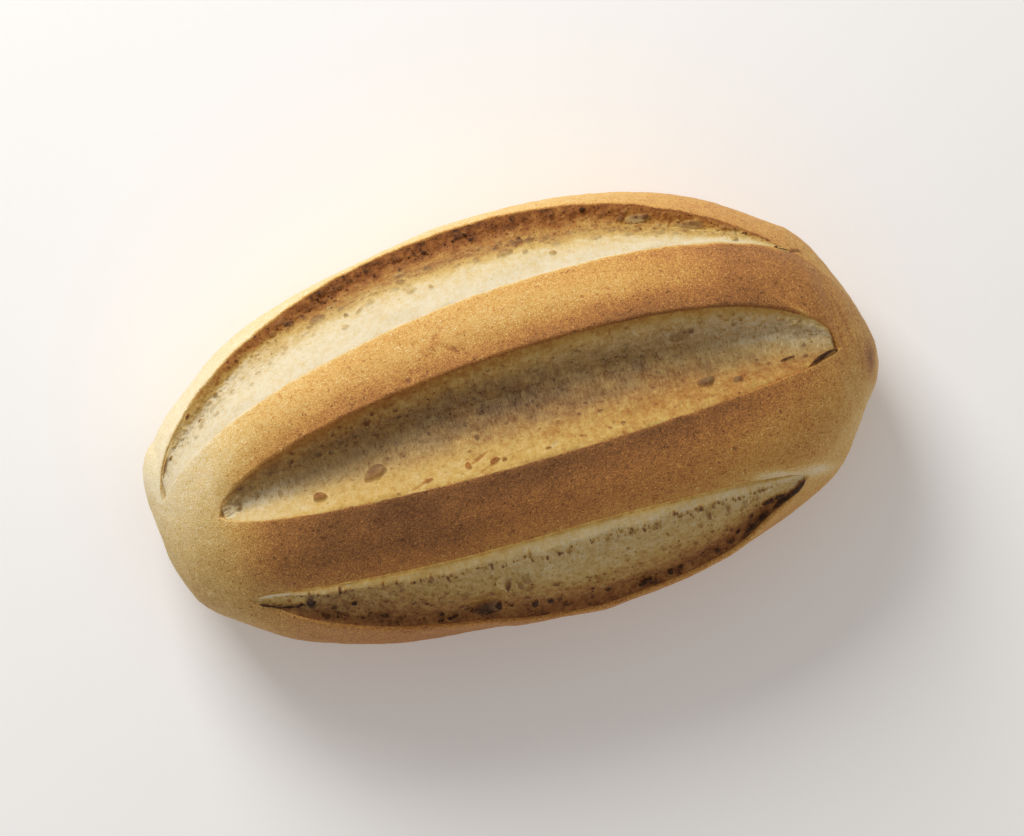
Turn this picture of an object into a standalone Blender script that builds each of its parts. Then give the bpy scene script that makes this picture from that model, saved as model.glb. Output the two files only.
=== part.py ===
"""Oval sourdough loaf, burst open along three long cuts.

The loaf lies along X on its flat base, with +Z up, +Y towards its far side, and its origin in the
middle of the base. It is one solid. Its skin starts as a sphere whose poles lie on X: each ring of
the sphere becomes an upright section through the loaf, and each column runs from tip to tip along
one strip of it, which is a flank, the torn bed of a cut, a ridge of crust between two cuts, or the
underside. A place on a section is its turn, an angle that is 0 at the widest line of the far side,
a quarter turn at the top, a half turn at the widest line of the near side, and goes on underneath.
"""

import math

import bmesh
import bpy
import numpy as np
from mathutils import Vector, noise

# Driving sizes of the loaf, in metres.
LENGTH = 0.2855
HEIGHT = 0.097
BELLY_HEIGHT = 0.037  # the height at which the loaf is widest
BELLY_DROP = 0.006  # how much lower that line lies at the tips
WIDEST_HALF = 0.0788
WIDEST_STATION = 0.0145  # the X of the widest section
FOOT_DEPTH = 0.047  # how far the round underside would reach below the belly if it weren't pressed flat

# Powers of the rounded outlines: 2 is an ellipse, and more is fuller. The outline seen from above
# has one along the loaf and one across it, for the left end and for the right end.
FULLNESS_ALONG = (2.04, 2.25)
FULLNESS_ACROSS = (2.48, 1.83)
DOME_FULLNESS = 2.15
CROWN_LINE_FULLNESS = 2.3
FOOT_FULLNESS = 2.6

# The middle line seen from above wanders a little: its X and Y, from the left tip to the right one.
MIDDLE_LINE = (
    (-0.143, 0.005), (-0.134, -0.0028), (-0.110, -0.0012), (-0.060, 0.0), (-0.010, 0.0013),
    (0.040, 0.0004), (0.097, -0.0007), (0.120, -0.0024), (0.143, -0.008),
)

# The two edges of each cut seen from above, as the control points of Bezier curves. They meet at
# the cut's ends. The ridges of crust lie between the cuts.
FAR_CUT = (
    ((-0.1368, 0.0036), (-0.1299, 0.0595), (0.0331, 0.1156), (0.1216, 0.0307)),
    ((-0.1368, 0.0036), (-0.1110, 0.0412), (0.0689, 0.0667), (0.1216, 0.0307)),
)
MIDDLE_CUT = (
    ((-0.1164, -0.0078), (-0.1063, 0.0230), (0.1240, 0.0413), (0.1276, -0.0083)),
    ((-0.1164, -0.0078), (-0.0926, -0.0254), (0.1034, -0.0219), (0.1276, -0.0083)),
)
NEAR_CUT = (
    ((-0.1150, -0.0397), (-0.0161, -0.0536), (0.0081, -0.0431), (0.1044, -0.0505)),
    ((-0.1150, -0.0397), (-0.0699, -0.0742), (0.0577, -0.0967), (0.1044, -0.0505)),
)
CUTS = (FAR_CUT, MIDDLE_CUT, NEAR_CUT)

# How deep each cut has sunk, and the share of that depth across its bed, from its far edge (0) to
# its near edge (1). The far bed lies under the far lip and climbs to the far ridge, the middle bed
# is a valley that is steepest under the far ridge, and the near bed sinks towards the near lip.
CUT_DEPTHS = (0.0052, 0.0150, 0.0036)
BED_PROFILES = (
    ((0.0, 0.60), (0.14, 0.96), (0.35, 0.86), (0.6, 0.52), (0.85, 0.20), (1.0, 0.08)),
    ((0.0, 0.15), (0.12, 0.46), (0.30, 0.92), (0.42, 1.0), (0.6, 0.78), (0.8, 0.38), (1.0, 0.05)),
    ((0.0, 0.08), (0.14, 0.0), (0.3, 0.50), (0.5, 0.80), (0.75, 0.97), (0.9, 0.95), (1.0, 0.75)),
)
FULL_DEPTH_WIDTH = 0.016  # a cut narrower than this is shallower too
END_RUNS = (0.025, 0.045, 0.016)  # how far from its ends each cut has sunk fully
BED_WALL_TURN = math.radians(0.9)  # between the crust's edge and the bed below it
WALL_SHARE = 0.12  # the most of a cut's width that each wall takes where the cut is narrow

LIP_RISE = 0.0016  # how far the crust curls out along the outer edges of the far and near cuts
LIP_CURL_TURN = math.radians(7)
RIDGE_PUFF = 0.0016  # how far a ridge of crust bulges between its edges
RIDGE_EDGE_RISE = 0.0010  # how far the ridges stand up along the middle cut

LUMP_HEIGHT = 0.0011  # the unevenness of the whole skin
LUMP_SIZE = 0.040
TORN_HEIGHT = 0.0009  # the crags of the torn beds
TORN_SIZE = 0.012
TORN_FULL_DEPTH = 0.003  # a bed as deep as this is craggy all over
LUMP_FADE_HEIGHT = 0.012  # the base is flat, so lumps fade out above it

# Swells of the crust and, where the height is below zero, hollows torn into the beds: their
# centre, their reach and their height.
SWELLS = (
    (Vector((0.141, -0.014, 0.028)), 0.014, 0.0018),  # a bulge at the right tip
    (Vector((0.133, -0.036, 0.033)), 0.010, -0.0024),  # a notch beside it
    (Vector((0.116, -0.050, 0.035)), 0.012, 0.0016),
    (Vector((0.124, 0.038, 0.036)), 0.015, 0.0026),  # the corner beyond the far cut
    (Vector((-0.050, 0.074, 0.037)), 0.026, -0.0018),  # a long shallow hollow of the far side
    (Vector((-0.118, 0.048, 0.036)), 0.016, -0.0016),
    (Vector((-0.1400, -0.0053, 0.033)), 0.0065, -0.0028),  # a fold at the left tip
    (Vector((-0.118, -0.050, 0.036)), 0.014, -0.0016),
    (Vector((-0.032, -0.077, 0.039)), 0.022, -0.0016),  # a hollow of the near side, with two bulges
    (Vector((-0.016, -0.078, 0.042)), 0.009, 0.0012),
    (Vector((0.016, -0.080, 0.042)), 0.010, 0.0010),
    (Vector((0.066, -0.074, 0.038)), 0.020, -0.0012),
    (Vector((-0.028, -0.064, 0.064)), 0.007, -0.0028),  # a burst bubble in the near bed
    (Vector((0.085, -0.060, 0.056)), 0.012, -0.0026),  # crevices at the ends of the near cut
    (Vector((-0.103, -0.044, 0.067)), 0.009, -0.0018),
    (Vector((-0.110, -0.005, 0.078)), 0.007, -0.0014),  # and at the left end of the middle cut
)

# The mesh: rings from tip to tip, and the columns of each strip in order round a section.
RINGS = 76
FAR_FLANK_COLUMNS = 8
BED_COLUMNS = (8, 10, 8)
RIDGE_COLUMNS = 8
NEAR_FLANK_COLUMNS = 5
UNDERSIDE_COLUMNS = 5
BASE_COLUMNS = 5
COLUMNS = (
    FAR_FLANK_COLUMNS + sum(BED_COLUMNS) + 2 * RIDGE_COLUMNS + NEAR_FLANK_COLUMNS
    + 2 * UNDERSIDE_COLUMNS + BASE_COLUMNS
)
LEAST_GAP_TURN = math.radians(1.5)  # between a cut's edges where it has closed
LEAST_BASE_TURN = math.radians(14)
CURVE_STEPS = 200

CRUST_COLOUR = (0.48, 0.26, 0.09, 1.0)
CRUST_ROUGHNESS = 0.62


def half_width(x):
    """Half the width of the loaf at a station."""
    left = x < WIDEST_STATION
    to_tip = np.where(left, LENGTH / 2 + WIDEST_STATION, LENGTH / 2 - WIDEST_STATION)
    share = np.clip(np.abs(x - WIDEST_STATION) / to_tip, 0, 1)
    along = np.where(left, *FULLNESS_ALONG)
    across = np.where(left, *FULLNESS_ACROSS)
    return WIDEST_HALF * (1 - share**along) ** (1 / across)


def middle_line(x):
    return np.interp(x, *np.transpose(MIDDLE_LINE))


def tip_share(x):
    """0 in the middle of the loaf and 1 at both tips."""
    return np.clip(np.abs(x) / (LENGTH / 2), 0, 1)


def belly_height(x):
    return BELLY_HEIGHT - BELLY_DROP * tip_share(x) ** 3


def rounded(x, fullness):
    """1 in the middle of the loaf, rounded off to 0 at the tips."""
    return (1 - tip_share(x) ** fullness) ** (1 / fullness)


def smooth_step(share):
    share = np.clip(share, 0, 1)
    return share * share * (3 - 2 * share)


def bezier(control_points):
    """X and Y along the cubic Bezier curve."""
    t = np.linspace(0, 1, CURVE_STEPS)[:, None]
    a, b, c, d = np.array(control_points)
    curve = (1 - t) ** 3 * a + 3 * t * (1 - t) ** 2 * b + 3 * t * t * (1 - t) * c + t**3 * d
    return curve.T


def edge_turns(control_points, x):
    """The turn of a cut's edge at each station. Past its ends it keeps the turn that it has there."""
    xs, ys = bezier(control_points)
    inside = np.clip(x, xs[0], xs[-1])
    share = np.clip((np.interp(inside, xs, ys) - middle_line(inside)) / half_width(inside), -1, 1)
    return np.arccos(np.sign(share) * np.abs(share) ** (DOME_FULLNESS / 2))


def cut_widths(cut, x):
    """The width of a cut at each station, seen from above, and 0 past its ends."""
    (far_xs, far_ys), (near_xs, near_ys) = (bezier(edge) for edge in cut)
    return np.interp(x, far_xs, far_ys) - np.interp(x, near_xs, near_ys)


def end_shares(cut, x, run):
    """0 at the ends of a cut and past them, and 1 from this far inside them."""
    xs, _ = bezier(cut[0])
    inside = np.minimum(x - xs[0], xs[-1] - x) / run
    return np.sin(np.clip(inside, 0, 1) * math.pi / 2)


def crust_edges(x):
    """The turns of the six edges of the cuts at each station, kept apart, and fanned out at the tips."""
    edges = [edge for cut in CUTS for edge in cut]
    held = np.array([edge_turns(edge, x) for edge in edges])
    counts = (FAR_FLANK_COLUMNS, BED_COLUMNS[0], RIDGE_COLUMNS, BED_COLUMNS[1], RIDGE_COLUMNS, BED_COLUMNS[2])
    dome_columns = sum(counts) + NEAR_FLANK_COLUMNS
    fanned = math.pi * np.cumsum(counts)[:, None] / dome_columns
    first = min(edge[0][0] for edge in edges)
    last = max(edge[-1][0] for edge in edges)
    fan = smooth_step(np.maximum((first - x) / (first + LENGTH / 2), (x - last) / (LENGTH / 2 - last)))
    turns = held + (fanned - held) * fan
    for far_edge, near_edge in ((0, 1), (2, 3), (4, 5)):
        middle = (turns[far_edge] + turns[near_edge]) / 2
        half_gap = np.maximum(turns[near_edge] - turns[far_edge], LEAST_GAP_TURN) / 2
        turns[far_edge], turns[near_edge] = middle - half_gap, middle + half_gap
    return turns


def spread(start, end, shares):
    """Turns at these shares of the way from one line along the loaf to another, one row for each ring."""
    return start[:, None] + (end - start)[:, None] * shares


def flank(lip, belly, columns, openness):
    """The crust between a lip and the widest line of its side. It curls out towards the lip."""
    turns = spread(lip, belly, np.linspace(0, 1, columns))
    curl = np.exp(-(((turns - lip[:, None]) / LIP_CURL_TURN) ** 2))
    return turns, LIP_RISE * openness[:, None] * curl


def bed(number, x, edges, openness):
    """The torn bed of a cut, below the smooth skin. It rises towards the cut's ends."""
    far_edge, near_edge = edges[2 * number], edges[2 * number + 1]
    wall = np.minimum(BED_WALL_TURN, WALL_SHARE * (near_edge - far_edge))
    shares = np.linspace(0, 1, BED_COLUMNS[number])
    profile = np.interp(shares, *np.transpose(BED_PROFILES[number]))
    depth = CUT_DEPTHS[number] * openness[number] * end_shares(CUTS[number], x, END_RUNS[number])
    return spread(far_edge + wall, near_edge - wall, shares), -depth[:, None] * profile


def ridge(outer_edge, inner_edge, openness):
    """The crust between two cuts. Its inner edge, on the middle cut, stands up a little."""
    shares = np.linspace(0, 1, RIDGE_COLUMNS)
    shape = RIDGE_PUFF * np.sin(math.pi * shares) + RIDGE_EDGE_RISE * shares**3
    return spread(outer_edge, inner_edge, shares), openness[:, None] * shape


def sections(x):
    """The turn of each column at each ring, and its height over the smooth skin."""
    edges = crust_edges(x)
    openness = [smooth_step(cut_widths(cut, x) / FULL_DEPTH_WIDTH) for cut in CUTS]
    far_belly, near_belly, round_again = (np.full_like(x, turn) for turn in (0, math.pi, 2 * math.pi))
    far_flank = flank(edges[0], far_belly, FAR_FLANK_COLUMNS, openness[0])
    far_ridge = ridge(edges[1], edges[2], openness[1])
    near_ridge = ridge(edges[4], edges[3], openness[1])
    near_flank = flank(edges[5], near_belly, NEAR_FLANK_COLUMNS, openness[2])
    base_half = np.maximum(base_turn(x), LEAST_BASE_TURN)
    base_near, base_far = 1.5 * math.pi - base_half, 1.5 * math.pi + base_half
    down = np.arange(1, UNDERSIDE_COLUMNS + 1) / (UNDERSIDE_COLUMNS + 1)
    below = [
        spread(near_belly, base_near, down),
        spread(base_near, base_far, np.linspace(0, 1, BASE_COLUMNS)),
        spread(base_far, round_again, down),
    ]
    # The far flank and the near ridge are worked out from their inner edge, so they are turned round.
    parts = [
        [columns[:, ::-1] for columns in far_flank], bed(0, x, edges, openness), far_ridge,
        bed(1, x, edges, openness), [columns[:, ::-1] for columns in near_ridge],
        bed(2, x, edges, openness), near_flank, *[(turns, np.zeros_like(turns)) for turns in below],
    ]
    turns, heights = zip(*parts)
    return np.hstack(turns), np.hstack(heights)


def base_turn(x):
    """Half the turn over which the underside is pressed flat, at each station."""
    reach = np.minimum(belly_height(x) / np.maximum(FOOT_DEPTH * rounded(x, FOOT_FULLNESS), 1e-9), 1)
    return np.arccos(reach ** (FOOT_FULLNESS / 2))


def smooth_skin(x, turns):
    """Points of the loaf without its cuts and lumps: one row for each ring."""
    x = x[:, None]
    across, up = np.cos(turns), np.sin(turns)
    fullness = np.where(up >= 0, DOME_FULLNESS, FOOT_FULLNESS)
    rise = np.where(
        up >= 0,
        (HEIGHT - belly_height(x)) * rounded(x, CROWN_LINE_FULLNESS),
        FOOT_DEPTH * rounded(x, FOOT_FULLNESS),
    )
    y = middle_line(x) + half_width(x) * np.sign(across) * np.abs(across) ** (2 / fullness)
    z = belly_height(x) + rise * np.sign(up) * np.abs(up) ** (2 / fullness)
    return np.stack([x + 0 * y, y, np.maximum(z, 0)], axis=2)


def outward_normals(points):
    """Unit normals of the skin, and zero at the tips."""
    along = np.gradient(points, axis=0)
    around = np.roll(points, -1, axis=1) - np.roll(points, 1, axis=1)
    normals = np.cross(around, along)
    lengths = np.linalg.norm(normals, axis=2, keepdims=True)
    return np.divide(normals, lengths, out=np.zeros_like(normals), where=lengths > 0)


def lump_height(point, torn_share):
    """Unevenness at a point of the skin: long lumps, the crags of a torn bed, and the swells."""
    fade = float(smooth_step(point.z / LUMP_FADE_HEIGHT))
    height = LUMP_HEIGHT * noise.noise(point / LUMP_SIZE)
    height += TORN_HEIGHT * torn_share * noise.noise(point / TORN_SIZE)
    for centre, reach, swell in SWELLS:
        height += swell * math.exp(-((point - centre).length / reach) ** 2)
    return height * fade


def loaf_mesh():
    """The loaf's skin as one closed mesh."""
    x = -LENGTH / 2 * np.cos(np.linspace(0, math.pi, RINGS + 1))
    turns, heights = sections(x)
    skin = smooth_skin(x, turns)
    normals = outward_normals(skin)
    bm = bmesh.new()
    bmesh.ops.create_uvsphere(bm, u_segments=COLUMNS, v_segments=RINGS, radius=1)
    for vertex in bm.verts:
        ring = round(math.acos(max(-1, min(1, -vertex.co.z))) / math.pi * RINGS)
        # The sphere's first meridian lies towards +Y.
        column = round(math.atan2(vertex.co.x, vertex.co.y) / (2 * math.pi) * COLUMNS) % COLUMNS
        point = Vector(skin[ring, column])
        sunk = float(heights[ring, column])
        height = sunk + lump_height(point, min(1, max(0, -sunk / TORN_FULL_DEPTH)))
        vertex.co = point + height * Vector(normals[ring, column])
        vertex.co.z = max(vertex.co.z, 0)
    low = [min(vertex.co[axis] for vertex in bm.verts) for axis in range(3)]
    high = [max(vertex.co[axis] for vertex in bm.verts) for axis in range(3)]
    base_middle = Vector(((low[0] + high[0]) / 2, (low[1] + high[1]) / 2, low[2]))
    bmesh.ops.translate(bm, verts=bm.verts, vec=-base_middle)
    bmesh.ops.triangulate(bm, faces=bm.faces, quad_method="FIXED")
    bmesh.ops.recalc_face_normals(bm, faces=bm.faces)
    mesh = bpy.data.meshes.new("loaf")
    bm.to_mesh(mesh)
    bm.free()
    mesh.shade_smooth()
    return mesh


def crust_material():
    material = bpy.data.materials.new("baked_crust")
    material.use_nodes = True
    shader = material.node_tree.nodes["Principled BSDF"]
    shader.inputs["Base Color"].default_value = CRUST_COLOUR
    shader.inputs["Roughness"].default_value = CRUST_ROUGHNESS
    shader.inputs["Metallic"].default_value = 0.0
    return material


def main():
    for obj in list(bpy.data.objects):
        bpy.data.objects.remove(obj, do_unlink=True)
    loaf = bpy.data.objects.new("loaf", loaf_mesh())
    loaf.data.materials.append(crust_material())
    bpy.context.scene.collection.objects.link(loaf)


main()
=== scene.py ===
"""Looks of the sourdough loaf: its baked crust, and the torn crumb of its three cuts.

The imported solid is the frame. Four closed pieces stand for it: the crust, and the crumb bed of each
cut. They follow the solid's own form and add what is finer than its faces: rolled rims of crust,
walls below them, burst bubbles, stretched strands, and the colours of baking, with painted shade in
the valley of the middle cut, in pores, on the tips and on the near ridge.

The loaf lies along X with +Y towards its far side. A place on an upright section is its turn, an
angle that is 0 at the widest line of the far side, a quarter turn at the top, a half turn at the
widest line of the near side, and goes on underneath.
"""

import logging
import math
from dataclasses import dataclass, field
from enum import Enum
from typing import Any

import bmesh
import bpy
import numpy as np
from mathutils import Matrix, Vector, kdtree, noise
from numpy.typing import NDArray


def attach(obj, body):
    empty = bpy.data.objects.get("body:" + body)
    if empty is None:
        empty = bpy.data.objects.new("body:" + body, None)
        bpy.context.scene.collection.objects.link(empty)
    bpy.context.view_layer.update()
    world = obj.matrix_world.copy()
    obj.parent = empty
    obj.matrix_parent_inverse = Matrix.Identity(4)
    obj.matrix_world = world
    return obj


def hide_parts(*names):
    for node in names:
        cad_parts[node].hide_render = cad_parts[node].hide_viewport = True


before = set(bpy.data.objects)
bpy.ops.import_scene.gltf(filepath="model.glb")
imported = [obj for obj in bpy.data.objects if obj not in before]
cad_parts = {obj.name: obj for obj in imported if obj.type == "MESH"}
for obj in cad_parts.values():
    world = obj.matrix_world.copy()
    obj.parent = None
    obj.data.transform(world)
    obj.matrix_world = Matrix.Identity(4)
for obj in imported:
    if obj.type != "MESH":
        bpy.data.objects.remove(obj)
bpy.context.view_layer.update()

LOG = logging.getLogger("sourdough_loaf")
MM = 0.001
STEP = 0.001  # of a turn, in radians, over which slopes are measured

# Cells of foam: how far they are warped and how large that pattern is, then their mean radius, how
# much it varies and over what distance, all in distances between cells, and how full they are.
FOAM_WARP, FOAM_WARP_SIZE = 0.35, 1.7
FOAM_RADIUS, FOAM_SPREAD, FOAM_SPREAD_SIZE = 0.42, 0.38, 3.1
FOAM_POWER = 0.6

Array = NDArray[np.float64]
Point2 = tuple[float, float]
Point3 = tuple[float, float, float]
Line = tuple[Point2, ...]
Table = tuple[tuple[float, ...], ...]
Layers = tuple[tuple[float, float | Point3], ...]
Stops = tuple[tuple[float, str], ...]
Material = bpy.types.Material
Piece = bpy.types.Object
Socket = bpy.types.NodeSocket


def smooth_step(share: Array | float) -> Array:
    """Eases a share from 0 to 1, flat at both ends.

    Args:
        share: How far along, clipped to 0 and 1.

    Returns:
        The eased share.
    """
    share = np.clip(share, 0, 1)
    return share * share * (3 - 2 * share)


def hex_colour(code: str) -> tuple[float, float, float, float]:
    """Turns an sRGB hex colour into the linear one that shaders take.

    Args:
        code: Six hex digits after a #.

    Returns:
        Linear red, green and blue, and full alpha.
    """
    channels = [int(code[start : start + 2], 16) / 255 for start in (1, 3, 5)]
    linear = [c / 12.92 if c <= 0.04045 else ((c + 0.055) / 1.055) ** 2.4 for c in channels]
    return (linear[0], linear[1], linear[2], 1.0)


def grain(points: Array, size: float | Point3, seed: float) -> Array:
    """Smooth random values over points, the same each run.

    Args:
        points: Places, with X, Y and Z last.
        size: The size of the pattern's lumps, in metres, the same or along each axis.
        seed: Sets one pattern apart from another.

    Returns:
        A value between about -1 and 1 for each point.
    """
    scaled = points / np.asarray(size) + seed
    values = [noise.noise(Vector(place)) for place in scaled.reshape(-1, 3)]
    return np.array(values).reshape(points.shape[:-1])


def layered(points: Array, layers: Layers, seed: float) -> Array:
    """Adds up layers of smooth random values over points.

    Args:
        points: Places, with X, Y and Z last.
        layers: The weight of each layer and the size of its lumps, in metres.
        seed: That of the first layer. The others count on from it.

    Returns:
        The sum for each point.
    """
    parts = [weight * grain(points, size, seed + number) for number, (weight, size) in enumerate(layers)]
    return np.sum(parts, axis=0)


def foam(points: Array, size: float, seed: float) -> Array:
    """Open cells scattered over points, the same each run.

    Args:
        points: Places, with X, Y and Z last.
        size: The distance between cells, in metres.
        seed: Sets one pattern apart from another.

    Returns:
        1 in the middle of an open cell and 0 between cells, for each point.
    """
    # Warped a little, and open only here and there, so that the cells differ in size.
    warped = points + FOAM_WARP * size * grain(points, FOAM_WARP_SIZE * size, seed + 0.5)[..., None]
    scaled = warped / size + seed
    nearest = np.array([noise.voronoi(Vector(place))[0][0] for place in scaled.reshape(-1, 3)])
    radius = FOAM_RADIUS + FOAM_SPREAD * grain(points, FOAM_SPREAD_SIZE * size, seed + 0.7)
    return np.clip(1 - nearest.reshape(points.shape[:-1]) / np.maximum(radius, 0.01), 0, 1) ** FOAM_POWER


def spread(start: Array, end: Array, shares: Array) -> Array:
    """Values at these shares of the way from a start to an end, in a row for each start."""
    return start[:, None] + (end - start)[:, None] * shares


class Cut(Enum):
    """The three cuts that burst open, by their number from the far side."""

    FAR = 0
    MIDDLE = 1
    NEAR = 2

    @property
    def edges(self) -> tuple[int, int]:
        """The numbers of its far and its near edge, among the six."""
        return 2 * self.value, 2 * self.value + 1


@dataclass(frozen=True)
class Swell:
    """A bulge of the dough or, where its height is below zero, a hollow."""

    centre: Point3
    reach: float
    height: float


@dataclass(frozen=True)
class LoafForm:
    """The whole form of the loaf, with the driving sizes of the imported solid, in metres."""

    length: float = 0.2855
    height: float = 0.097
    belly_height: float = 0.037  # where the loaf is widest
    belly_drop: float = 0.006  # how much lower that line lies at the tips
    widest_half: float = 0.0788
    widest_station: float = 0.0145
    foot_depth: float = 0.047  # how far the underside would reach if it weren't pressed flat
    # Powers of the rounded outlines, for the left end and the right one: 2 is an ellipse.
    fullness_along: Point2 = (2.04, 2.25)
    fullness_across: Point2 = (2.48, 1.83)
    dome_fullness: float = 2.15
    crown_line_fullness: float = 2.3
    foot_fullness: float = 2.6
    middle_points: Line = (
        (-0.143, 0.005), (-0.134, -0.0028), (-0.110, -0.0012), (-0.060, 0.0), (-0.010, 0.0013),
        (0.040, 0.0004), (0.097, -0.0007), (0.120, -0.0024), (0.143, -0.008),
    )
    # Control points of the Bezier curve of each crust edge seen from above, far edge first.
    cut_edges: tuple[Line, ...] = (
        ((-0.1368, 0.0036), (-0.1299, 0.0595), (0.0331, 0.1156), (0.1216, 0.0307)),
        ((-0.1368, 0.0036), (-0.1110, 0.0412), (0.0689, 0.0667), (0.1216, 0.0307)),
        ((-0.1164, -0.0078), (-0.1063, 0.0230), (0.1240, 0.0413), (0.1276, -0.0083)),
        ((-0.1164, -0.0078), (-0.0926, -0.0254), (0.1034, -0.0219), (0.1276, -0.0083)),
        ((-0.1150, -0.0397), (-0.0161, -0.0536), (0.0081, -0.0431), (0.1044, -0.0505)),
        ((-0.1150, -0.0397), (-0.0699, -0.0742), (0.0577, -0.0967), (0.1044, -0.0505)),
    )
    cut_depths: Point3 = (0.0052, 0.0150, 0.0036)
    full_depth_width: float = 0.016  # a cut narrower than this is shallower too
    end_runs: Point3 = (0.025, 0.045, 0.016)  # from a cut's ends to its full depth
    least_gap_turn: float = math.radians(1.5)
    fan_shares: tuple[float, ...] = (8 / 55, 16 / 55, 24 / 55, 34 / 55, 42 / 55, 50 / 55)
    lip_rise: float = 0.0016
    lip_curl_turn: float = math.radians(7)
    ridge_puff: float = 0.0016
    ridge_edge_rise: float = 0.0010
    lump_height: float = 0.0011
    lump_size: float = 0.040
    torn_height: float = 0.0009
    torn_size: float = 0.012
    torn_full_depth: float = 0.003
    lump_fade_height: float = 0.012
    swells: tuple[Swell, ...] = (
        Swell((0.141, -0.014, 0.028), 0.014, 0.0018),  # a bulge at the right tip
        Swell((0.133, -0.036, 0.033), 0.010, -0.0024),  # a notch beside it
        Swell((0.116, -0.050, 0.035), 0.012, 0.0016),
        Swell((0.124, 0.038, 0.036), 0.015, 0.0026),  # the corner beyond the far cut
        Swell((-0.050, 0.074, 0.037), 0.026, -0.0018),  # a long shallow hollow of the far side
        Swell((-0.118, 0.048, 0.036), 0.016, -0.0016),
        Swell((-0.1400, -0.0053, 0.033), 0.0065, -0.0028),  # a fold at the left tip
        Swell((-0.118, -0.050, 0.036), 0.014, -0.0016),
        Swell((-0.032, -0.077, 0.039), 0.022, -0.0016),  # a hollow of the near side, and two bulges
        Swell((-0.016, -0.078, 0.042), 0.009, 0.0012),
        Swell((0.016, -0.080, 0.042), 0.010, 0.0010),
        Swell((0.066, -0.074, 0.038), 0.020, -0.0012),
        Swell((-0.028, -0.064, 0.064), 0.007, -0.0028),  # a burst bubble in the near bed
        Swell((0.085, -0.060, 0.056), 0.012, -0.0026),  # crevices at the ends of the near cut
        Swell((-0.103, -0.044, 0.067), 0.009, -0.0018),
        Swell((-0.110, -0.005, 0.078), 0.007, -0.0014),  # and at the left end of the middle cut
    )
    base_middle: Point3 = (0.000655, 0.000238, 0.0)  # moved onto the origin

    def half_width(self, x: Array) -> Array:
        """Half the width of the loaf at a station.

        Args:
            x: Stations along the loaf.

        Returns:
            The half width at each.
        """
        left = x < self.widest_station
        half = self.length / 2
        to_tip = np.where(left, half + self.widest_station, half - self.widest_station)
        share = np.clip(np.abs(x - self.widest_station) / to_tip, 0, 1)
        along = np.where(left, *self.fullness_along)
        across = np.where(left, *self.fullness_across)
        return self.widest_half * (1 - share**along) ** (1 / across)

    def middle_line(self, x: Array) -> Array:
        """The Y of the loaf's wandering middle line at each station."""
        return np.interp(x, *np.transpose(self.middle_points))

    def tip_share(self, x: Array) -> Array:
        """0 in the middle of the loaf and 1 at both tips."""
        return np.clip(np.abs(x) / (self.length / 2), 0, 1)

    def belly(self, x: Array) -> Array:
        """The height of the widest line at each station."""
        return self.belly_height - self.belly_drop * self.tip_share(x) ** 3

    def rounded(self, x: Array, fullness: float) -> Array:
        """1 in the middle of the loaf, rounded off to 0 at the tips."""
        return (1 - self.tip_share(x) ** fullness) ** (1 / fullness)

    def skin(self, x: Array, turns: Array) -> Array:
        """Points of the loaf without its cuts and lumps.

        Args:
            x: Stations, of the same shape as turns or broadcast to it.
            turns: Angles on the sections.

        Returns:
            X, Y and Z of each point.
        """
        across, up = np.cos(turns), np.sin(turns)
        fullness = np.where(up >= 0, self.dome_fullness, self.foot_fullness)
        crown = (self.height - self.belly(x)) * self.rounded(x, self.crown_line_fullness)
        foot = self.foot_depth * self.rounded(x, self.foot_fullness)
        rise = np.where(up >= 0, crown, foot)
        y = self.middle_line(x) + self.half_width(x) * np.sign(across) * np.abs(across) ** (2 / fullness)
        z = self.belly(x) + rise * np.sign(up) * np.abs(up) ** (2 / fullness)
        return np.stack([x + 0 * y, y, np.maximum(z, 0)], axis=-1)

    def normals(self, x: Array, turns: Array) -> Array:
        """Unit normals of the smooth skin, pointing out.

        Args:
            x: Stations.
            turns: Angles on the sections.

        Returns:
            The normal at each point, along X at the tips.
        """
        station = np.clip(np.arccos(np.clip(-2 * x / self.length, -1, 1)), 2 * STEP, math.pi - 2 * STEP)
        behind, middle, ahead = (-self.length / 2 * np.cos(station + way * STEP) for way in (-1, 0, 1))
        along = self.skin(ahead, turns) - self.skin(behind, turns)
        around = self.skin(middle, turns + STEP) - self.skin(middle, turns - STEP)
        normals = np.cross(around, along)
        lengths = np.linalg.norm(normals, axis=-1, keepdims=True)
        return normals / np.maximum(lengths, 1e-15)

    def girth_scale(self, x: Array, turns: Array) -> Array:
        """Metres of skin for each radian of turn, at least a millimetre's worth."""
        run = np.linalg.norm(self.skin(x, turns + STEP) - self.skin(x, turns - STEP), axis=-1)
        return np.maximum(run / (2 * STEP), MM)

    def bezier(self, edge: int, steps: int = 200) -> Array:
        """X and Y along one crust edge seen from above.

        Args:
            edge: The number of the edge, from the far side.
            steps: How many points to work out.

        Returns:
            Two rows, for X and for Y.
        """
        t = np.linspace(0, 1, steps)[:, None]
        a, b, c, d = np.array(self.cut_edges[edge])
        curve = (1 - t) ** 3 * a + 3 * t * (1 - t) ** 2 * b + 3 * t * t * (1 - t) * c + t**3 * d
        return curve.T

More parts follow.
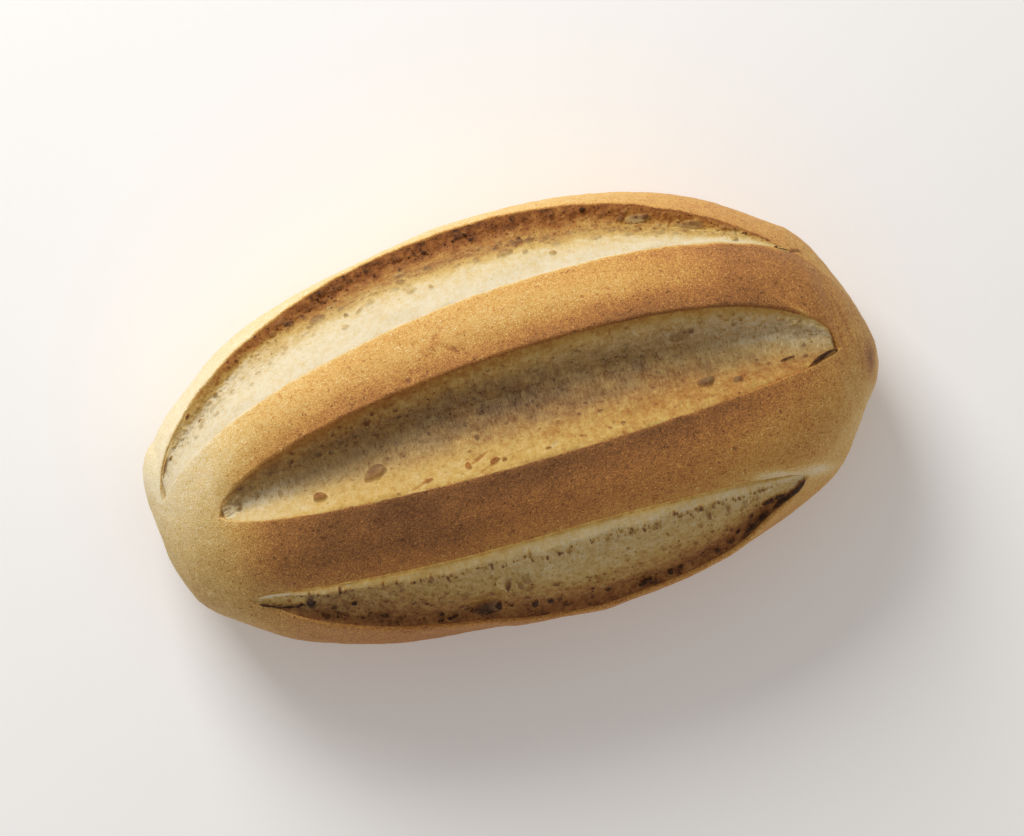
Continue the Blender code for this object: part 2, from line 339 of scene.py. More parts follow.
    def edge_turns(self, x: Array) -> Array:
        """The turns of the six crust edges at each station, kept apart and fanned out at the tips.

        Args:
            x: Stations, in one row.

        Returns:
            Six rows of turns.
        """
        held = []
        for edge in range(len(self.cut_edges)):
            xs, ys = self.bezier(edge)
            inside = np.clip(x, xs[0], xs[-1])
            share = (np.interp(inside, xs, ys) - self.middle_line(inside)) / self.half_width(inside)
            share = np.clip(share, -1, 1)
            held.append(np.arccos(np.sign(share) * np.abs(share) ** (self.dome_fullness / 2)))
        first = min(edge[0][0] for edge in self.cut_edges)
        last = max(edge[-1][0] for edge in self.cut_edges)
        half = self.length / 2
        fan = smooth_step(np.maximum((first - x) / (first + half), (x - last) / (half - last)))
        fanned = math.pi * np.array(self.fan_shares)[:, None]
        turns = np.array(held) + (fanned - np.array(held)) * fan
        for cut in Cut:
            far, near = cut.edges
            middle = (turns[far] + turns[near]) / 2
            half_gap = np.maximum(turns[near] - turns[far], self.least_gap_turn) / 2
            turns[far], turns[near] = middle - half_gap, middle + half_gap
        return turns

    def span(self, cut: Cut) -> Point2:
        """The stations of a cut's left and right end."""
        return self.cut_edges[cut.edges[0]][0][0], self.cut_edges[cut.edges[0]][-1][0]

    def cut_width(self, cut: Cut, x: Array) -> Array:
        """The width of a cut at each station, seen from above, and 0 past its ends."""
        far, near = (np.interp(x, *self.bezier(edge)) for edge in cut.edges)
        return far - near

    def openness(self, cut: Cut, x: Array) -> Array:
        """0 where a cut is closed, up to 1 where it has opened fully."""
        return smooth_step(self.cut_width(cut, x) / self.full_depth_width)

    def inside(self, cut: Cut, x: Array) -> Array:
        """How far each station lies inside the nearer end of a cut, in metres."""
        first, last = self.span(cut)
        return np.minimum(x - first, last - x)

    def depth(self, cut: Cut, x: Array) -> Array:
        """How deep a cut has sunk at each station."""
        inside = np.clip(self.inside(cut, x) / self.end_runs[cut.value], 0, 1)
        return self.cut_depths[cut.value] * self.openness(cut, x) * np.sin(inside * math.pi / 2)

    def lumps(self, skin: Array, torn_share: Array) -> Array:
        """The unevenness that the solid has too: long lumps, the crags of the beds, and the swells.

        Args:
            skin: Points of the smooth skin.
            torn_share: 0 on crust and 1 in a torn bed, for each point.

        Returns:
            The height at each point.
        """
        height = self.lump_height * grain(skin, self.lump_size, 0)
        height = height + self.torn_height * torn_share * grain(skin, self.torn_size, 0)
        for swell in self.swells:
            distance = np.linalg.norm(skin - np.array(swell.centre), axis=-1)
            height += swell.height * np.exp(-((distance / swell.reach) ** 2))
        return height * smooth_step(skin[..., 2] / self.lump_fade_height)

    def surface(self, x: Array, turns: Array, heights: Array) -> Array:
        """Points at these heights over the smooth skin, with the lumps of the solid, in its frame.

        Args:
            x: Stations.
            turns: Angles on the sections.
            heights: Heights over the skin, below zero inside a cut.

        Returns:
            X, Y and Z of each point.
        """
        skin = self.skin(x, turns)
        torn_share = np.clip(-heights / self.torn_full_depth, 0, 1)
        total = heights + self.lumps(skin, torn_share)
        points = skin + total[..., None] * self.normals(x, turns)
        points[..., 2] = np.maximum(points[..., 2], 0)
        return points - np.array(self.base_middle)


@dataclass(frozen=True)
class Rim:
    """How the crust ends along one edge of a cut, in metres."""

    radius: float  # of its rounded edge
    undercut: float  # how far the wall falls back under the crust
    rise: float = 0.0  # how far the very edge stands up
    ragged: float = 0.00025  # how far the edge wanders
    toast_and_shade: float = 0.25  # how much browner the edge is than the crust beside it, or the share paler
    fade: float = 0.0010  # how far that spreads


@dataclass(frozen=True)
class Bubble:
    """One burst bubble, crack, knob or stain, seen from above, in millimetres."""

    x: float
    y: float
    length: float
    width: float
    depth: float  # below zero where it stands up
    lean: float = 0.0  # degrees from the loaf's length
    browning_and_shade: float = 0.2  # how much browner it is inside, partly painted shade in a hollow; below zero it is paler, partly painted light on a knob
    greying: float = 0.35  # and how much greyer, where it lies in crumb, partly painted shade too

    def reach(self, points: Array) -> Array:
        """How far from its middle points lie, seen from above.

        Args:
            points: Places, with X, Y and Z last.

        Returns:
            0 in the middle and 1 at the outline, for each point.
        """
        lean = math.radians(self.lean)
        x, y = points[..., 0] - self.x * MM, points[..., 1] - self.y * MM
        ahead = (x * math.cos(lean) + y * math.sin(lean)) / (self.length * MM / 2)
        aside = (y * math.cos(lean) - x * math.sin(lean)) / (self.width * MM / 2)
        return np.hypot(ahead, aside)


def bubbles_from(*rows: tuple[float, ...]) -> tuple[Bubble, ...]:
    """Bubbles whose fields are given in rows, from left to right."""
    return tuple(Bubble(*row) for row in rows)


# How far along the loaf the lines of CRUST_BAKE_AND_SHADE are read, in metres.
BAKE_STATIONS = (-0.143, -0.117, -0.095, -0.050, 0.0, 0.050, 0.095, 0.122, 0.143)

# How dark the crust is at those stations on lines from tip to tip, in percent: 0 is pale, 100 dark brown.
# It is how far the crust browned, with painted shade in it: the near ridge and the right end are darker
# where less light falls on them.
CRUST_BAKE_AND_SHADE: Table = (
    (10, 11, 14, 17, 21, 33, 50, 50, 44),  # the widest line of the far side
    (4, 6, 12, 20, 25, 40, 56, 52, 46),  # the far lip
    (10, 16, 36, 44, 43, 52, 76, 70, 48),  # the far ridge: its far edge
    (13, 19, 37, 46, 41, 45, 72, 70, 48),  # its middle
    (17, 30, 54, 65, 65, 76, 75, 62, 42),  # and its near edge
    (17, 34, 74, 94, 90, 87, 76, 58, 42),  # the near ridge: its far edge
    (24, 48, 79, 89, 76, 69, 54, 50, 36),  # its middle
    (28, 46, 64, 67, 62, 58, 52, 37, 28),  # and its near edge
    (32, 46, 64, 70, 62, 58, 48, 35, 26),  # the near lip
    (36, 48, 62, 68, 64, 60, 52, 40, 34),  # the widest line of the near side
    (50, 55, 60, 62, 62, 62, 58, 54, 50),  # the edges of the base
    (50, 55, 60, 62, 62, 62, 58, 54, 50),
    (10, 11, 14, 17, 21, 33, 50, 50, 44),  # round to the far side again
)

# How dull and olive the crust is for how brown it is, by station: painted shade on the tips, which face
# away from the light, and the pale olive of ends that browned less.
DULL_ALONG = (
    (-0.143, 0.75), (-0.122, 0.65), (-0.100, 0.25), (-0.070, 0.05), (0.060, 0.0), (0.100, 0.0),
    (0.122, 0.12), (0.143, 0.30),
)

# Wrinkles, creases and stains of the crust. Where a pit or crease is browner, that is partly painted shade.
CRUST_MARKS = bubbles_from(
    (-23, 31.5, 12, 3.4, -0.35, 20, 0.14), (-15.5, 29, 9, 2.6, 0.3, -35, 0.16),
    (-19, 35, 8, 2.4, 0.3, 60, 0.12), (-10, 33.5, 7, 2.2, -0.25, 10, 0.1),
    (-27.5, 34.5, 4, 2, 0.25, 0, 0.1), (-34, 21.5, 3, 1.8, 0.6, 20, 0.35),
    (116, 8, 20, 1.9, -0.35, -44, -0.22), (131.5, 2, 26, 1.6, 0.3, -82, 0.1),
    (128.5, -6, 22, 1.4, 0.25, -88, 0.1), (134.5, -12, 20, 1.5, 0.25, -96, 0.08),
    (138.5, -16, 22, 7, 0, -98, 0.3), (115, 34.4, 9, 2.6, 0, -24, -0.3),
    (116.4, 33.6, 5, 1.2, 0.5, -30, 0.45), (120.6, 32.4, 5, 1.3, 0.5, -8, 0.6),
    (122.6, 31.6, 2.6, 1.3, -0.3, -50, 0.3), (90, -48.6, 24, 5.4, 0, -8, -0.4),
    (106, -50.2, 22, 6, 0, -4, -0.3), (-128, -34, 3, 2, -0.35, 40, -0.15),
    (-131, -26, 2.4, 1.6, -0.3, 80, -0.15), (-122, -40, 2.4, 1.8, -0.3, 10, -0.12),
)


@dataclass
class CrustShell:
    """The browned crust: one closed skin from tip to tip, that sinks to a hidden floor in each cut."""

    form: LoafForm
    rings: int = 480
    far_flank_columns: int = 26
    ridge_columns: int = 29
    near_flank_columns: int = 18
    underside_columns: int = 10
    base_columns: int = 8
    rim_columns: int = 7
    wall_columns: int = 4
    floor_columns: tuple[int, int, int] = (4, 6, 4)
    floor_below_bed: float = 0.0050
    least_open_gap: float = 0.0012  # a narrower cut has closed up
    full_gap: float = 0.0060
    closed_fan: float = 0.35  # how far over a closed cut the columns of each of its walls spread
    least_base_turn: float = math.radians(14)
    outline_steps: int = 6000
    edge_grain: Line = ((0.009, 10), (0.0025, 20))  # lumps of the wander of the edges, and their seeds
    patches: Layers = ((0.05, 0.022), (0.02, 0.006))  # random browning
    pale_patches: float = 0.4  # how strong that is on the palest crust
    toast_wander: Layers = ((0.5, 0.005),)  # of how far the toast of a rim spreads
    pebbles: Layers = ((0.00018, 0.0055), (0.00012, 0.0028))
    pebble_fade_height: float = 0.004
    mark_falloff: float = 1.5
    marks: tuple[Bubble, ...] = CRUST_MARKS
    rims: tuple[Rim, ...] = (
        Rim(radius=0.0007, undercut=0.0005, ragged=0.0008, toast_and_shade=0.28, fade=0.0005),
        Rim(radius=0.0005, undercut=0.0003, ragged=0.0005, toast_and_shade=-0.40, fade=0.0010),
        Rim(radius=0.0014, undercut=0.0006, ragged=0.0004, toast_and_shade=0.04, fade=0.0025),
        Rim(radius=0.0007, undercut=0.0001, rise=0.0003, ragged=0.0005, toast_and_shade=-0.10, fade=0.0014),
        Rim(radius=0.0005, undercut=0.0002, ragged=0.0006, toast_and_shade=-0.12, fade=0.0016),
        Rim(radius=0.0009, undercut=0.0009, ragged=0.0004, toast_and_shade=-0.06, fade=0.0012),
    )
    x: Array = field(init=False)  # the stations of the rings
    edges: Array = field(init=False)  # the turns of the six edges, in rows
    # Strips of columns round the loaf: where each lies among the lines of CRUST_BAKE_AND_SHADE, turns and heights.
    strips: list[tuple[Array, Array, Array]] = field(default_factory=list, init=False)

    def __post_init__(self) -> None:
        """Places the rings and the edges."""
        self.x = self.stations()
        self.edges = self.ragged_edges()

    def stations(self) -> Array:
        """Spaces the rings evenly along the outline seen from above.

        Returns:
            The X of each ring.
        """
        fine = -self.form.length / 2 * np.cos(np.linspace(0, math.pi, self.outline_steps))
        steps = np.hypot(np.diff(fine), np.diff(self.form.half_width(fine)))
        run = np.concatenate([[0], np.cumsum(steps)])
        return np.interp(np.linspace(0, run[-1], self.rings + 1), run, fine)

    def ragged_edges(self) -> Array:
        """Lets the six edges wander a little, as torn crust does.

        Returns:
            Six rows of turns, with one for each ring.
        """
        x, edges = self.x, self.form.edge_turns(self.x)
        line = np.stack([x, 0 * x, 0 * x], axis=-1)
        for number, rim in enumerate(self.rims):
            coarse, fine = (grain(line, size, seed + number) for size, seed in self.edge_grain)
            wander = (coarse + fine / 2) * self.form.openness(Cut(number // 2), x)
            edges[number] += rim.ragged * wander / self.form.girth_scale(x, edges[number])
        return edges

    def rim_and_wall(self, number: int, top: Array) -> tuple[Array, Array]:
        """The rounded edge of the crust and the wall below it, from the crust into the cut.

        Args:
            number: Which edge.
            top: The height of the crust beside the rim, at each ring.

        Returns:
            Turns and heights, one row for each ring.
        """
        rim, cut, edge = self.rims[number], Cut(number // 2), self.edges[number]
        into = 1 if number == cut.edges[0] else -1
        open_share = self.open_share(cut)
        opened = open_share[:, None]
        radius = rim.radius * opened
        angle = np.linspace(0, math.pi / 2, self.rim_columns)
        down_share = np.arange(1, self.wall_columns + 1) / self.wall_columns
        depth = (self.form.cut_depths[cut.value] + self.floor_below_bed) * opened
        aside = np.hstack([
            radius * (np.sin(angle) - 1), -rim.undercut * opened * np.sin(down_share * math.pi / 2),
        ])
        down = np.hstack([
            radius * (1 - np.cos(angle)) - rim.rise * opened * np.sin(angle) ** 2,
            radius + (np.maximum(depth, radius) - radius) * down_share,
        ])
        # Where the cut has closed up, the columns are spread out between its edges.
        gap = (self.edges[cut.edges[1]] - self.edges[cut.edges[0]]) * (1 - open_share)
        fanned = np.linspace(0, self.closed_fan, aside.shape[1]) * gap[:, None]
        scale = self.form.girth_scale(self.x, edge)[:, None]
        return edge[:, None] + into * (aside / scale + fanned), top[:, None] - down

    def open_share(self, cut: Cut) -> Array:
        """0 at rings where a cut has closed up, and 1 where its rims and walls have their full size."""
        width = self.form.cut_width(cut, self.x)
        return smooth_step((width - self.least_open_gap) / (self.full_gap - self.least_open_gap))

    def add_flank(self, line: Array, turns: Array, edge: Array, top: Array) -> None:
        """Adds the skin of a side, which curls up into a lip at the edge of the crust."""
        curl = np.exp(-(((turns - edge[:, None]) / self.form.lip_curl_turn) ** 2))
        self.strips.append((line, turns, top[:, None] * curl))

    def lay_out(self) -> None:
        """Works out all strips round the loaf, from the far side over the top to the underside."""
        form, x = self.form, self.x
        opened = [form.openness(cut, x) for cut in Cut]
        zero, ridge = np.zeros_like(x), form.ridge_edge_rise * opened[1]
        tops = [form.lip_rise * opened[0], zero, ridge, ridge, zero, form.lip_rise * opened[2]]
        starts = []
        for number, (rim, edge) in enumerate(zip(self.rims, self.edges)):
            radius = rim.radius * self.open_share(Cut(number // 2)) * (-1) ** number
            starts.append(edge - radius / form.girth_scale(x, edge))

        shares = np.linspace(0, 1, self.far_flank_columns, endpoint=False)
        self.add_flank(shares, spread(zero, starts[0], shares), starts[0], tops[0])
        shares = np.linspace(0, 1, self.ridge_columns + 2)[1:-1]
        for cut, rising in ((Cut.FAR, shares), (Cut.MIDDLE, 1 - shares)):
            line = self.add_cut(cut, tops)
            edge = cut.edges[1]
            shape = form.ridge_puff * np.sin(math.pi * rising) + form.ridge_edge_rise * rising**3
            turns = spread(starts[edge], starts[edge + 1], shares)
            self.strips.append((line + 2 * shares, turns, opened[1][:, None] * shape))
        line = self.add_cut(Cut.NEAR, tops)
        shares = np.linspace(0, 1, self.near_flank_columns + 1)[1:]
        self.add_flank(line + shares, spread(starts[5], math.pi + zero, shares), starts[5], tops[5])

        foot = np.maximum(form.foot_depth * form.rounded(x, form.foot_fullness), 1e-9)
        reach = np.minimum(form.belly(x) / foot, 1)
        base_half = np.maximum(np.arccos(reach ** (form.foot_fullness / 2)), self.least_base_turn)
        bounds = (math.pi + zero, 1.5 * math.pi - base_half, 1.5 * math.pi + base_half, 2 * math.pi + zero)
        down = np.arange(1, self.underside_columns + 1) / (self.underside_columns + 1)
        for number, shares in enumerate((down, np.linspace(0, 1, self.base_columns), down)):
            turns = spread(bounds[number], bounds[number + 1], shares)
            self.strips.append((line + 1 + number + shares, turns, 0 * turns))

    def add_cut(self, cut: Cut, tops: list[Array]) -> int:
        """Adds the two rims of a cut and the hidden floor between them.

        Args:
            cut: Which cut.
            tops: The height of the crust at each of the six edges.

        Returns:
            The line of CRUST_BAKE_AND_SHADE at the cut's near edge.
        """
        line = 3 * cut.value + 1
        far, near = (self.rim_and_wall(number, tops[number]) for number in cut.edges)
        count = self.floor_columns[cut.value]
        shares = np.arange(1, count + 1) / (count + 1)
        floor_turns, floor_heights = (spread(a[:, -1], b[:, -1], shares) for a, b in zip(far, near))
        columns = np.ones(far[0].shape[1])
        self.strips += [
            (line * columns, *far), (line + shares, floor_turns, floor_heights),
            ((line + 1) * columns, near[0][:, ::-1], near[1][:, ::-1]),
        ]
        return line + 1

    def bake_and_shade(self, line: Array, turns: Array, points: Array) -> Array:
        """How dark the crust is at each point: how far it browned, with painted shade in it.

        Args:
            line: Where each column lies among the lines of CRUST_BAKE_AND_SHADE.
            turns: One row for each ring.
            points: The finished places.

        Returns:
            A value from 0, pale, to 1, dark brown.
        """
        table = np.array(CRUST_BAKE_AND_SHADE) / 100
        at_rings = np.array([np.interp(self.x, BAKE_STATIONS, row) for row in table]).T
        lower = np.minimum(line.astype(int), len(table) - 2)
        part = smooth_step(line - lower)
        base = at_rings[:, lower] * (1 - part) + at_rings[:, lower + 1] * part
        total = base + layered(points, self.patches, 31) * (self.pale_patches + base)
        uneven = 1 + layered(points, self.toast_wander, 33)
        for number, (rim, edge) in enumerate(zip(self.rims, self.edges)):
            scale = self.form.girth_scale(self.x, edge)[:, None]
            away = (turns - edge[:, None]) * scale / (rim.fade * uneven)
            near = self.open_share(Cut(number // 2))[:, None] * np.exp(-(away**2))
            total += rim.toast_and_shade * near * (1 if rim.toast_and_shade > 0 else total)
        return np.clip(total, 0, 1)

    def build(self) -> Piece:
        """Makes the crust as one closed piece.

        Returns:
            The object, with an attribute for how dark it is, with painted shade in it, and one for how dull
            and olive it is, partly painted shade at the tips.
        """
        self.lay_out()
        line, turns, heights = (np.hstack(part) for part in zip(*self.strips))
        points = self.form.surface(self.x[:, None], turns, heights)
        # How dark the crust is: how far it browned, with painted shade on the near ridge and the right end.
        bake_and_shade = self.bake_and_shade(line, turns, points)
        normals = self.form.normals(self.x[:, None], turns)
        # They end above the floor, so that the base stays flat.
        pebbles = layered(points, self.pebbles, 34) * smooth_step(points[..., 2] / self.pebble_fade_height)
        points = points + pebbles[..., None] * normals
        # Marks sink in or stand up, and are browner or paler; in pits and creases the browner colour is
        # partly painted shade.
        for mark in self.marks:
            share = np.where(turns < math.pi, np.exp(-self.mark_falloff * mark.reach(points) ** 2), 0)
            points = points - mark.depth * MM * share[..., None] * normals
            bake_and_shade = bake_and_shade + mark.browning_and_shade * share
        # Painted shade on the tips, by station, with the olive of their crust.
        dull = np.interp(points[..., 0], *np.transpose(DULL_ALONG))
        bm = bmesh.new()
        bmesh.ops.create_uvsphere(bm, u_segments=turns.shape[1], v_segments=self.rings, radius=1)
        order = []
        for vertex in bm.verts:
            ring = round(math.acos(max(-1, min(1, -vertex.co.z))) / math.pi * self.rings)
            # The sphere's first meridian lies towards +Y.
            column = round(math.atan2(vertex.co.x, vertex.co.y) / (2 * math.pi) * turns.shape[1])
            column %= turns.shape[1]
            vertex.co = points[ring, column]
            order.append(ring * turns.shape[1] + column)
        bmesh.ops.recalc_face_normals(bm, faces=bm.faces)
        return piece_from(bm, "crust", {"bake_and_shade": bake_and_shade.ravel()[order], "dull": dull.ravel()[order]})


def piece_from(bm: bmesh.types.BMesh, name: str, attributes: dict[str, Array]) -> Piece:
    """Turns a finished bmesh into a smooth object in the scene.

    Args:
        bm: The mesh, which is freed.
        name: The object's name.
        attributes: Values for each point, by name, in the mesh's own order.

    Returns:
        The object, at the origin.
    """
    mesh = bpy.data.meshes.new(name)
    bm.to_mesh(mesh)
    bm.free()
    for label, values in attributes.items():
        mesh.attributes.new(label, "FLOAT", "POINT").data.foreach_set("value", values.astype(np.float32))
    mesh.shade_smooth()
    piece = bpy.data.objects.new(name, mesh)
    bpy.context.scene.collection.objects.link(piece)
    return piece


@dataclass(frozen=True)
class Pore:
    """One pore or knob round one point of a bed, in metres and radians."""

    place: int
    half_length: float
    half_width: float
    depth: float
    lean: float
    browning_and_shade: float
    greying: float
    seen_from_above: bool = False  # its length and width, in place of those along the torn surface


@dataclass(frozen=True)
class PoreZone:
    """A stretch of a bed where small pores are scattered."""

    across: Point2  # the shares of the bed's width that it lies between
    along: Point2  # metres
    number: int
    sizes: Point2  # the smallest and largest diameter, in metres
    stretch: float = 1.4  # length along the loaf for each width, below 1 where pores stretch across
    depth: float = 0.45  # for each of its radii
    # How much browner and greyer its pores are: painted shade in them.
    browning_and_shade: float = 0.2
    lean_spread: float = 14.0  # degrees
    greying: float = 0.30


# How far along the loaf the toast and greyness of the beds are read, in metres.
BED_STATIONS = (-0.130, -0.100, -0.060, 0.0, 0.060, 0.100, 0.125)


@dataclass
class CrumbBed:
    """The torn crumb in one cut, with walls up to the crust's rims and margins hidden under them."""

    form: LoafForm
    cut: Cut
    profile: Line  # shares across the bed and of the cut's depth
    keel: float  # the height of the piece's hidden flat underside
    toast_and_shade: Table  # in percent: a share across, then how brown the crumb is there at BED_STATIONS, with painted shade in the middle cut's valley
    grey: Table  # the same for how grey and tightly packed it is, which in the middle cut's valley is mostly painted shade
    roughness: Line  # shares across, and how craggy and foamy the crumb is there
    streaks: Line  # shares across, and how far its strands are stretched there
    bubbles: tuple[Bubble, ...] = ()
    zones: tuple[PoreZone, ...] = ()
    strand_height: float = 0.00022
    strands: Layers = ((1.0, (0.0011, 0.0070, 1.0)), (0.7, (0.0006, 0.0035, 1.0)))
    folds: Layers = ((0.00045, 0.008),)
    crag_height: float = 0.00050
    crag_sizes: Point2 = (0.0034, 0.0015)
    small_crags: float = 0.6  # the height of the small ones for that of the large ones
    foam_depth: float = 0.00045
    foam_sizes: Point2 = (0.0016, 0.0030)
    coarse_foam: float = 0.8  # the depth of the coarse foam for that of the fine one
    grit: Layers = ((0.00005, 0.0011),)
    mottle: Layers = ((0.13, 0.0045), (0.09, 0.0018))  # random toast
    pale_mottle: float = 0.25  # how strong that is on the palest crumb
    grey_mottle: Layers = ((0.3, 0.006),)
    cell_shade: float = 0.10  # how much browner the foam's cells are: painted shade in them
    step: float = 0.00036  # between the points of the mesh
    section_steps: int = 2000
    rounding: int = 30  # how many of those a corner of the profile is rounded over, to each side
    reference_width: float = 0.030
    wander: float = 0.035  # how far its zones stray, as a share of its width
    wander_grain: Layers = ((1.0, 0.011), (0.5, 0.0045))
    margin: float = 0.0026
    margin_columns: int = 4
    margin_slope: Point2 = (1.6, 0.35)  # how fast the margins sink, and how late
    end_run: float = 0.004  # how far the piece goes on past the ends of the cut
    end_fade: float = 0.003  # how far inside them it begins to sink
    sink: float = 0.0028  # how deep the margins and the ends lie under the crust
    # How far a cut opens before its crumb has small pores, full relief and full tints.
    pore_openness: float = 0.25
    relief_openness: float = 0.15
    tint_openness: float = 0.02
    edge_fade: float = 0.025  # the share of its width over which they fade out at its edges
    stretch_spread: Point2 = (0.3, 1.5)  # random powers of how far the small pores are stretched
    tint_spread: Point2 = (0.3, 1.2)  # and shares of how tinted they are
    hem: float = 0.001  # the share of its width at each edge that has no small pores
    search: float = 1.5  # how far round a pore points may move, in its half lengths
    slope_search: float = 1.7  # how many times as far on a slope, for those seen from above
    waves: Point2 = (0.10, 0.07)  # how far the outlines of pores swing out, twice and three times round
    golden: float = 0.618  # gives each pore a phase of its own
    bowl_power: float = 2.6  # how flat the bottoms of the small pores are
    named_power: float = 4.0  # and those of the listed bubbles
    rim_place: float = 1.12  # of the raised rim round a bubble, in its own half widths
    rim_width: float = 0.16
    rim_height: float = 0.10  # for the bubble's depth
    rim_floor: float = -0.0001  # a rim leaves out the pores that are deeper than this
    rim_paler: float = 0.2  # how much paler the raised rim round a bubble is, for how brown the bubble is: a painted highlight
    calm: float = 0.85  # how much smoother the inside of a bubble is
    seed: int = 7
    # The bed before its pores and strands, in rows from left to right: its points and their unit normals
    # out of the loaf, how far across the bed each lies, from 0 to 1, and how far the cut has opened there.
    points: Array = field(init=False)
    normals: Array = field(init=False)
    share: Array = field(init=False)
    opened: Array = field(init=False)

    def section(self) -> tuple[Array, Array]:
        """The section across the bed, with its corners rounded.

        Returns:
            Shares across and the share of the depth at each.
        """
        fine = np.linspace(0, 1, self.section_steps)
        depth = np.interp(fine, *np.transpose(self.profile))
        window = np.hanning(2 * self.rounding + 1)
        padded = np.pad(depth, self.rounding, mode="edge")
        return fine, np.convolve(padded, window / window.sum(), mode="valid")

    def columns(self) -> tuple[Array, Array]:
        """Where the columns lie across the bed, evenly spaced over its curved section.

        Returns:
            The share across, and how far beyond the edge in metres.
        """
        fine, depth = self.section()
        steps = np.hypot(
            np.diff(fine) * self.reference_width, np.diff(depth) * self.form.cut_depths[self.cut.value]
        )
        run = np.concatenate([[0], np.cumsum(steps)])
        count = int(run[-1] / self.step)
        inner = np.interp(np.linspace(0, run[-1], count + 1), run, fine)
        outside = np.linspace(self.margin, 0, self.margin_columns, endpoint=False)
        share = np.concatenate([0 * outside, inner, 1 + 0 * outside])
        beyond = np.concatenate([-outside, 0 * inner, outside[::-1]])
        return share, beyond

    def stations(self) -> Array:
        """Spaces the rows across the bed evenly, from before the cut's left end to past its right one.

        Returns:
            The X of each row.
        """
        first, last = self.form.span(self.cut)
        count = int((last - first + 2 * self.end_run) / self.step)
        return np.linspace(first - self.end_run, last + self.end_run, count + 1)

    def lay_out(self) -> None:
        """Works out the bed before its pores and strands."""
        form = self.form
        x = self.stations()
        share, beyond = self.columns()
        edges = form.edge_turns(x)
        turns = spread(*edges[list(self.cut.edges)], share)
        turns = turns + beyond / form.girth_scale(x[:, None], turns)
        flow = np.stack(np.broadcast_arrays(x[:, None], share * self.reference_width, 0.0), axis=-1)
        wander = self.wander * layered(flow, self.wander_grain, 54)
        # No tear runs straight, but at its edges the bed has to stay under the crust.
        share = share + wander * np.minimum(8 * share * (1 - share), 1)
        heights = -form.depth(self.cut, x)[:, None] * np.interp(share, *self.section())
        slope, delay = self.margin_slope
        heights = heights - self.sink * smooth_step(slope * np.abs(beyond) / self.margin - delay)
        heights = heights - self.sink * smooth_step(1 - form.inside(self.cut, x)[:, None] / self.end_fade)
        points = form.surface(x[:, None], turns, heights)
        normals = np.cross(np.gradient(points, axis=0), np.gradient(points, axis=1))
        self.normals = normals / np.maximum(np.linalg.norm(normals, axis=-1, keepdims=True), 1e-15)
        self.points, self.share = points, share
        self.opened = form.openness(self.cut, x)[:, None] + 0 * turns

    def relief(self) -> tuple[Array, Array]:
        """The crumb's own relief: stretched strands across the bed, crags, folds and foam.

        Returns:
            Heights in metres, and how deep inside a foam cell each point lies, from 0 to 1.
        """
        points, share = self.points, self.share
        rough = np.interp(share, *np.transpose(self.roughness))
        streaked = np.interp(share, *np.transpose(self.streaks))
        flow = np.stack([points[..., 0], share * self.reference_width, 0 * share], axis=-1)
        strands = self.strand_height * streaked * layered(flow, self.strands, 41)
        large, small = (grain(points, size, seed) for seed, size in enumerate(self.crag_sizes, 44))
        crags = self.crag_height * rough * (self.small_crags * small - np.abs(large))
        fine, coarse = (foam(points, size, seed) for seed, size in enumerate(self.foam_sizes, 46))
        cells = np.maximum(fine, self.coarse_foam * coarse)
        folds, grit = layered(points, self.folds, 43), layered(points, self.grit, 48)
        heights = strands + folds + crags - self.foam_depth * rough * cells + grit
        return heights, rough * cells

    def scattered(self) -> list[Pore]:
        """Draws the small pores of the zones, the same each run.

        Returns:
            The pores.
        """
        draw = np.random.default_rng(self.seed)
        x, share = self.points[..., 0], self.share
        inner = (share > self.hem) & (share < 1 - self.hem) & (self.opened > self.pore_openness)
        pores = []
        for zone in self.zones:
            fits = inner & (share >= zone.across[0]) & (share <= zone.across[1])
            fits &= (x >= zone.along[0]) & (x <= zone.along[1])
            for place in draw.choice(np.flatnonzero(fits), zone.number):
                # Small pores are many and large ones few.
                half = (zone.sizes[0] + (zone.sizes[1] - zone.sizes[0]) * draw.random() ** 3) / 2
                root = math.sqrt(zone.stretch ** draw.uniform(*self.stretch_spread))
                lean = math.radians(draw.normal(0, zone.lean_spread))
                tint = draw.uniform(*self.tint_spread)
                pores.append(Pore(
                    int(place), half * root, half / root, zone.depth * half, lean,
                    tint * zone.browning_and_shade, tint * zone.greying,
                ))
        return pores

    def named(self) -> list[Pore]:
        """Puts each listed bubble on the point of the bed nearest below it.

        Returns:
            The pores.
        """
        flat = self.points.reshape(-1, 3)
        found = []
        for bubble in self.bubbles:
            aside = (flat[:, 0] - bubble.x * MM) ** 2 + (flat[:, 1] - bubble.y * MM) ** 2
            found.append(Pore(
                int(aside.argmin()), bubble.length * MM / 2, bubble.width * MM / 2, bubble.depth * MM,
                math.radians(bubble.lean), bubble.browning_and_shade, bubble.greying, True,
            ))
        return found

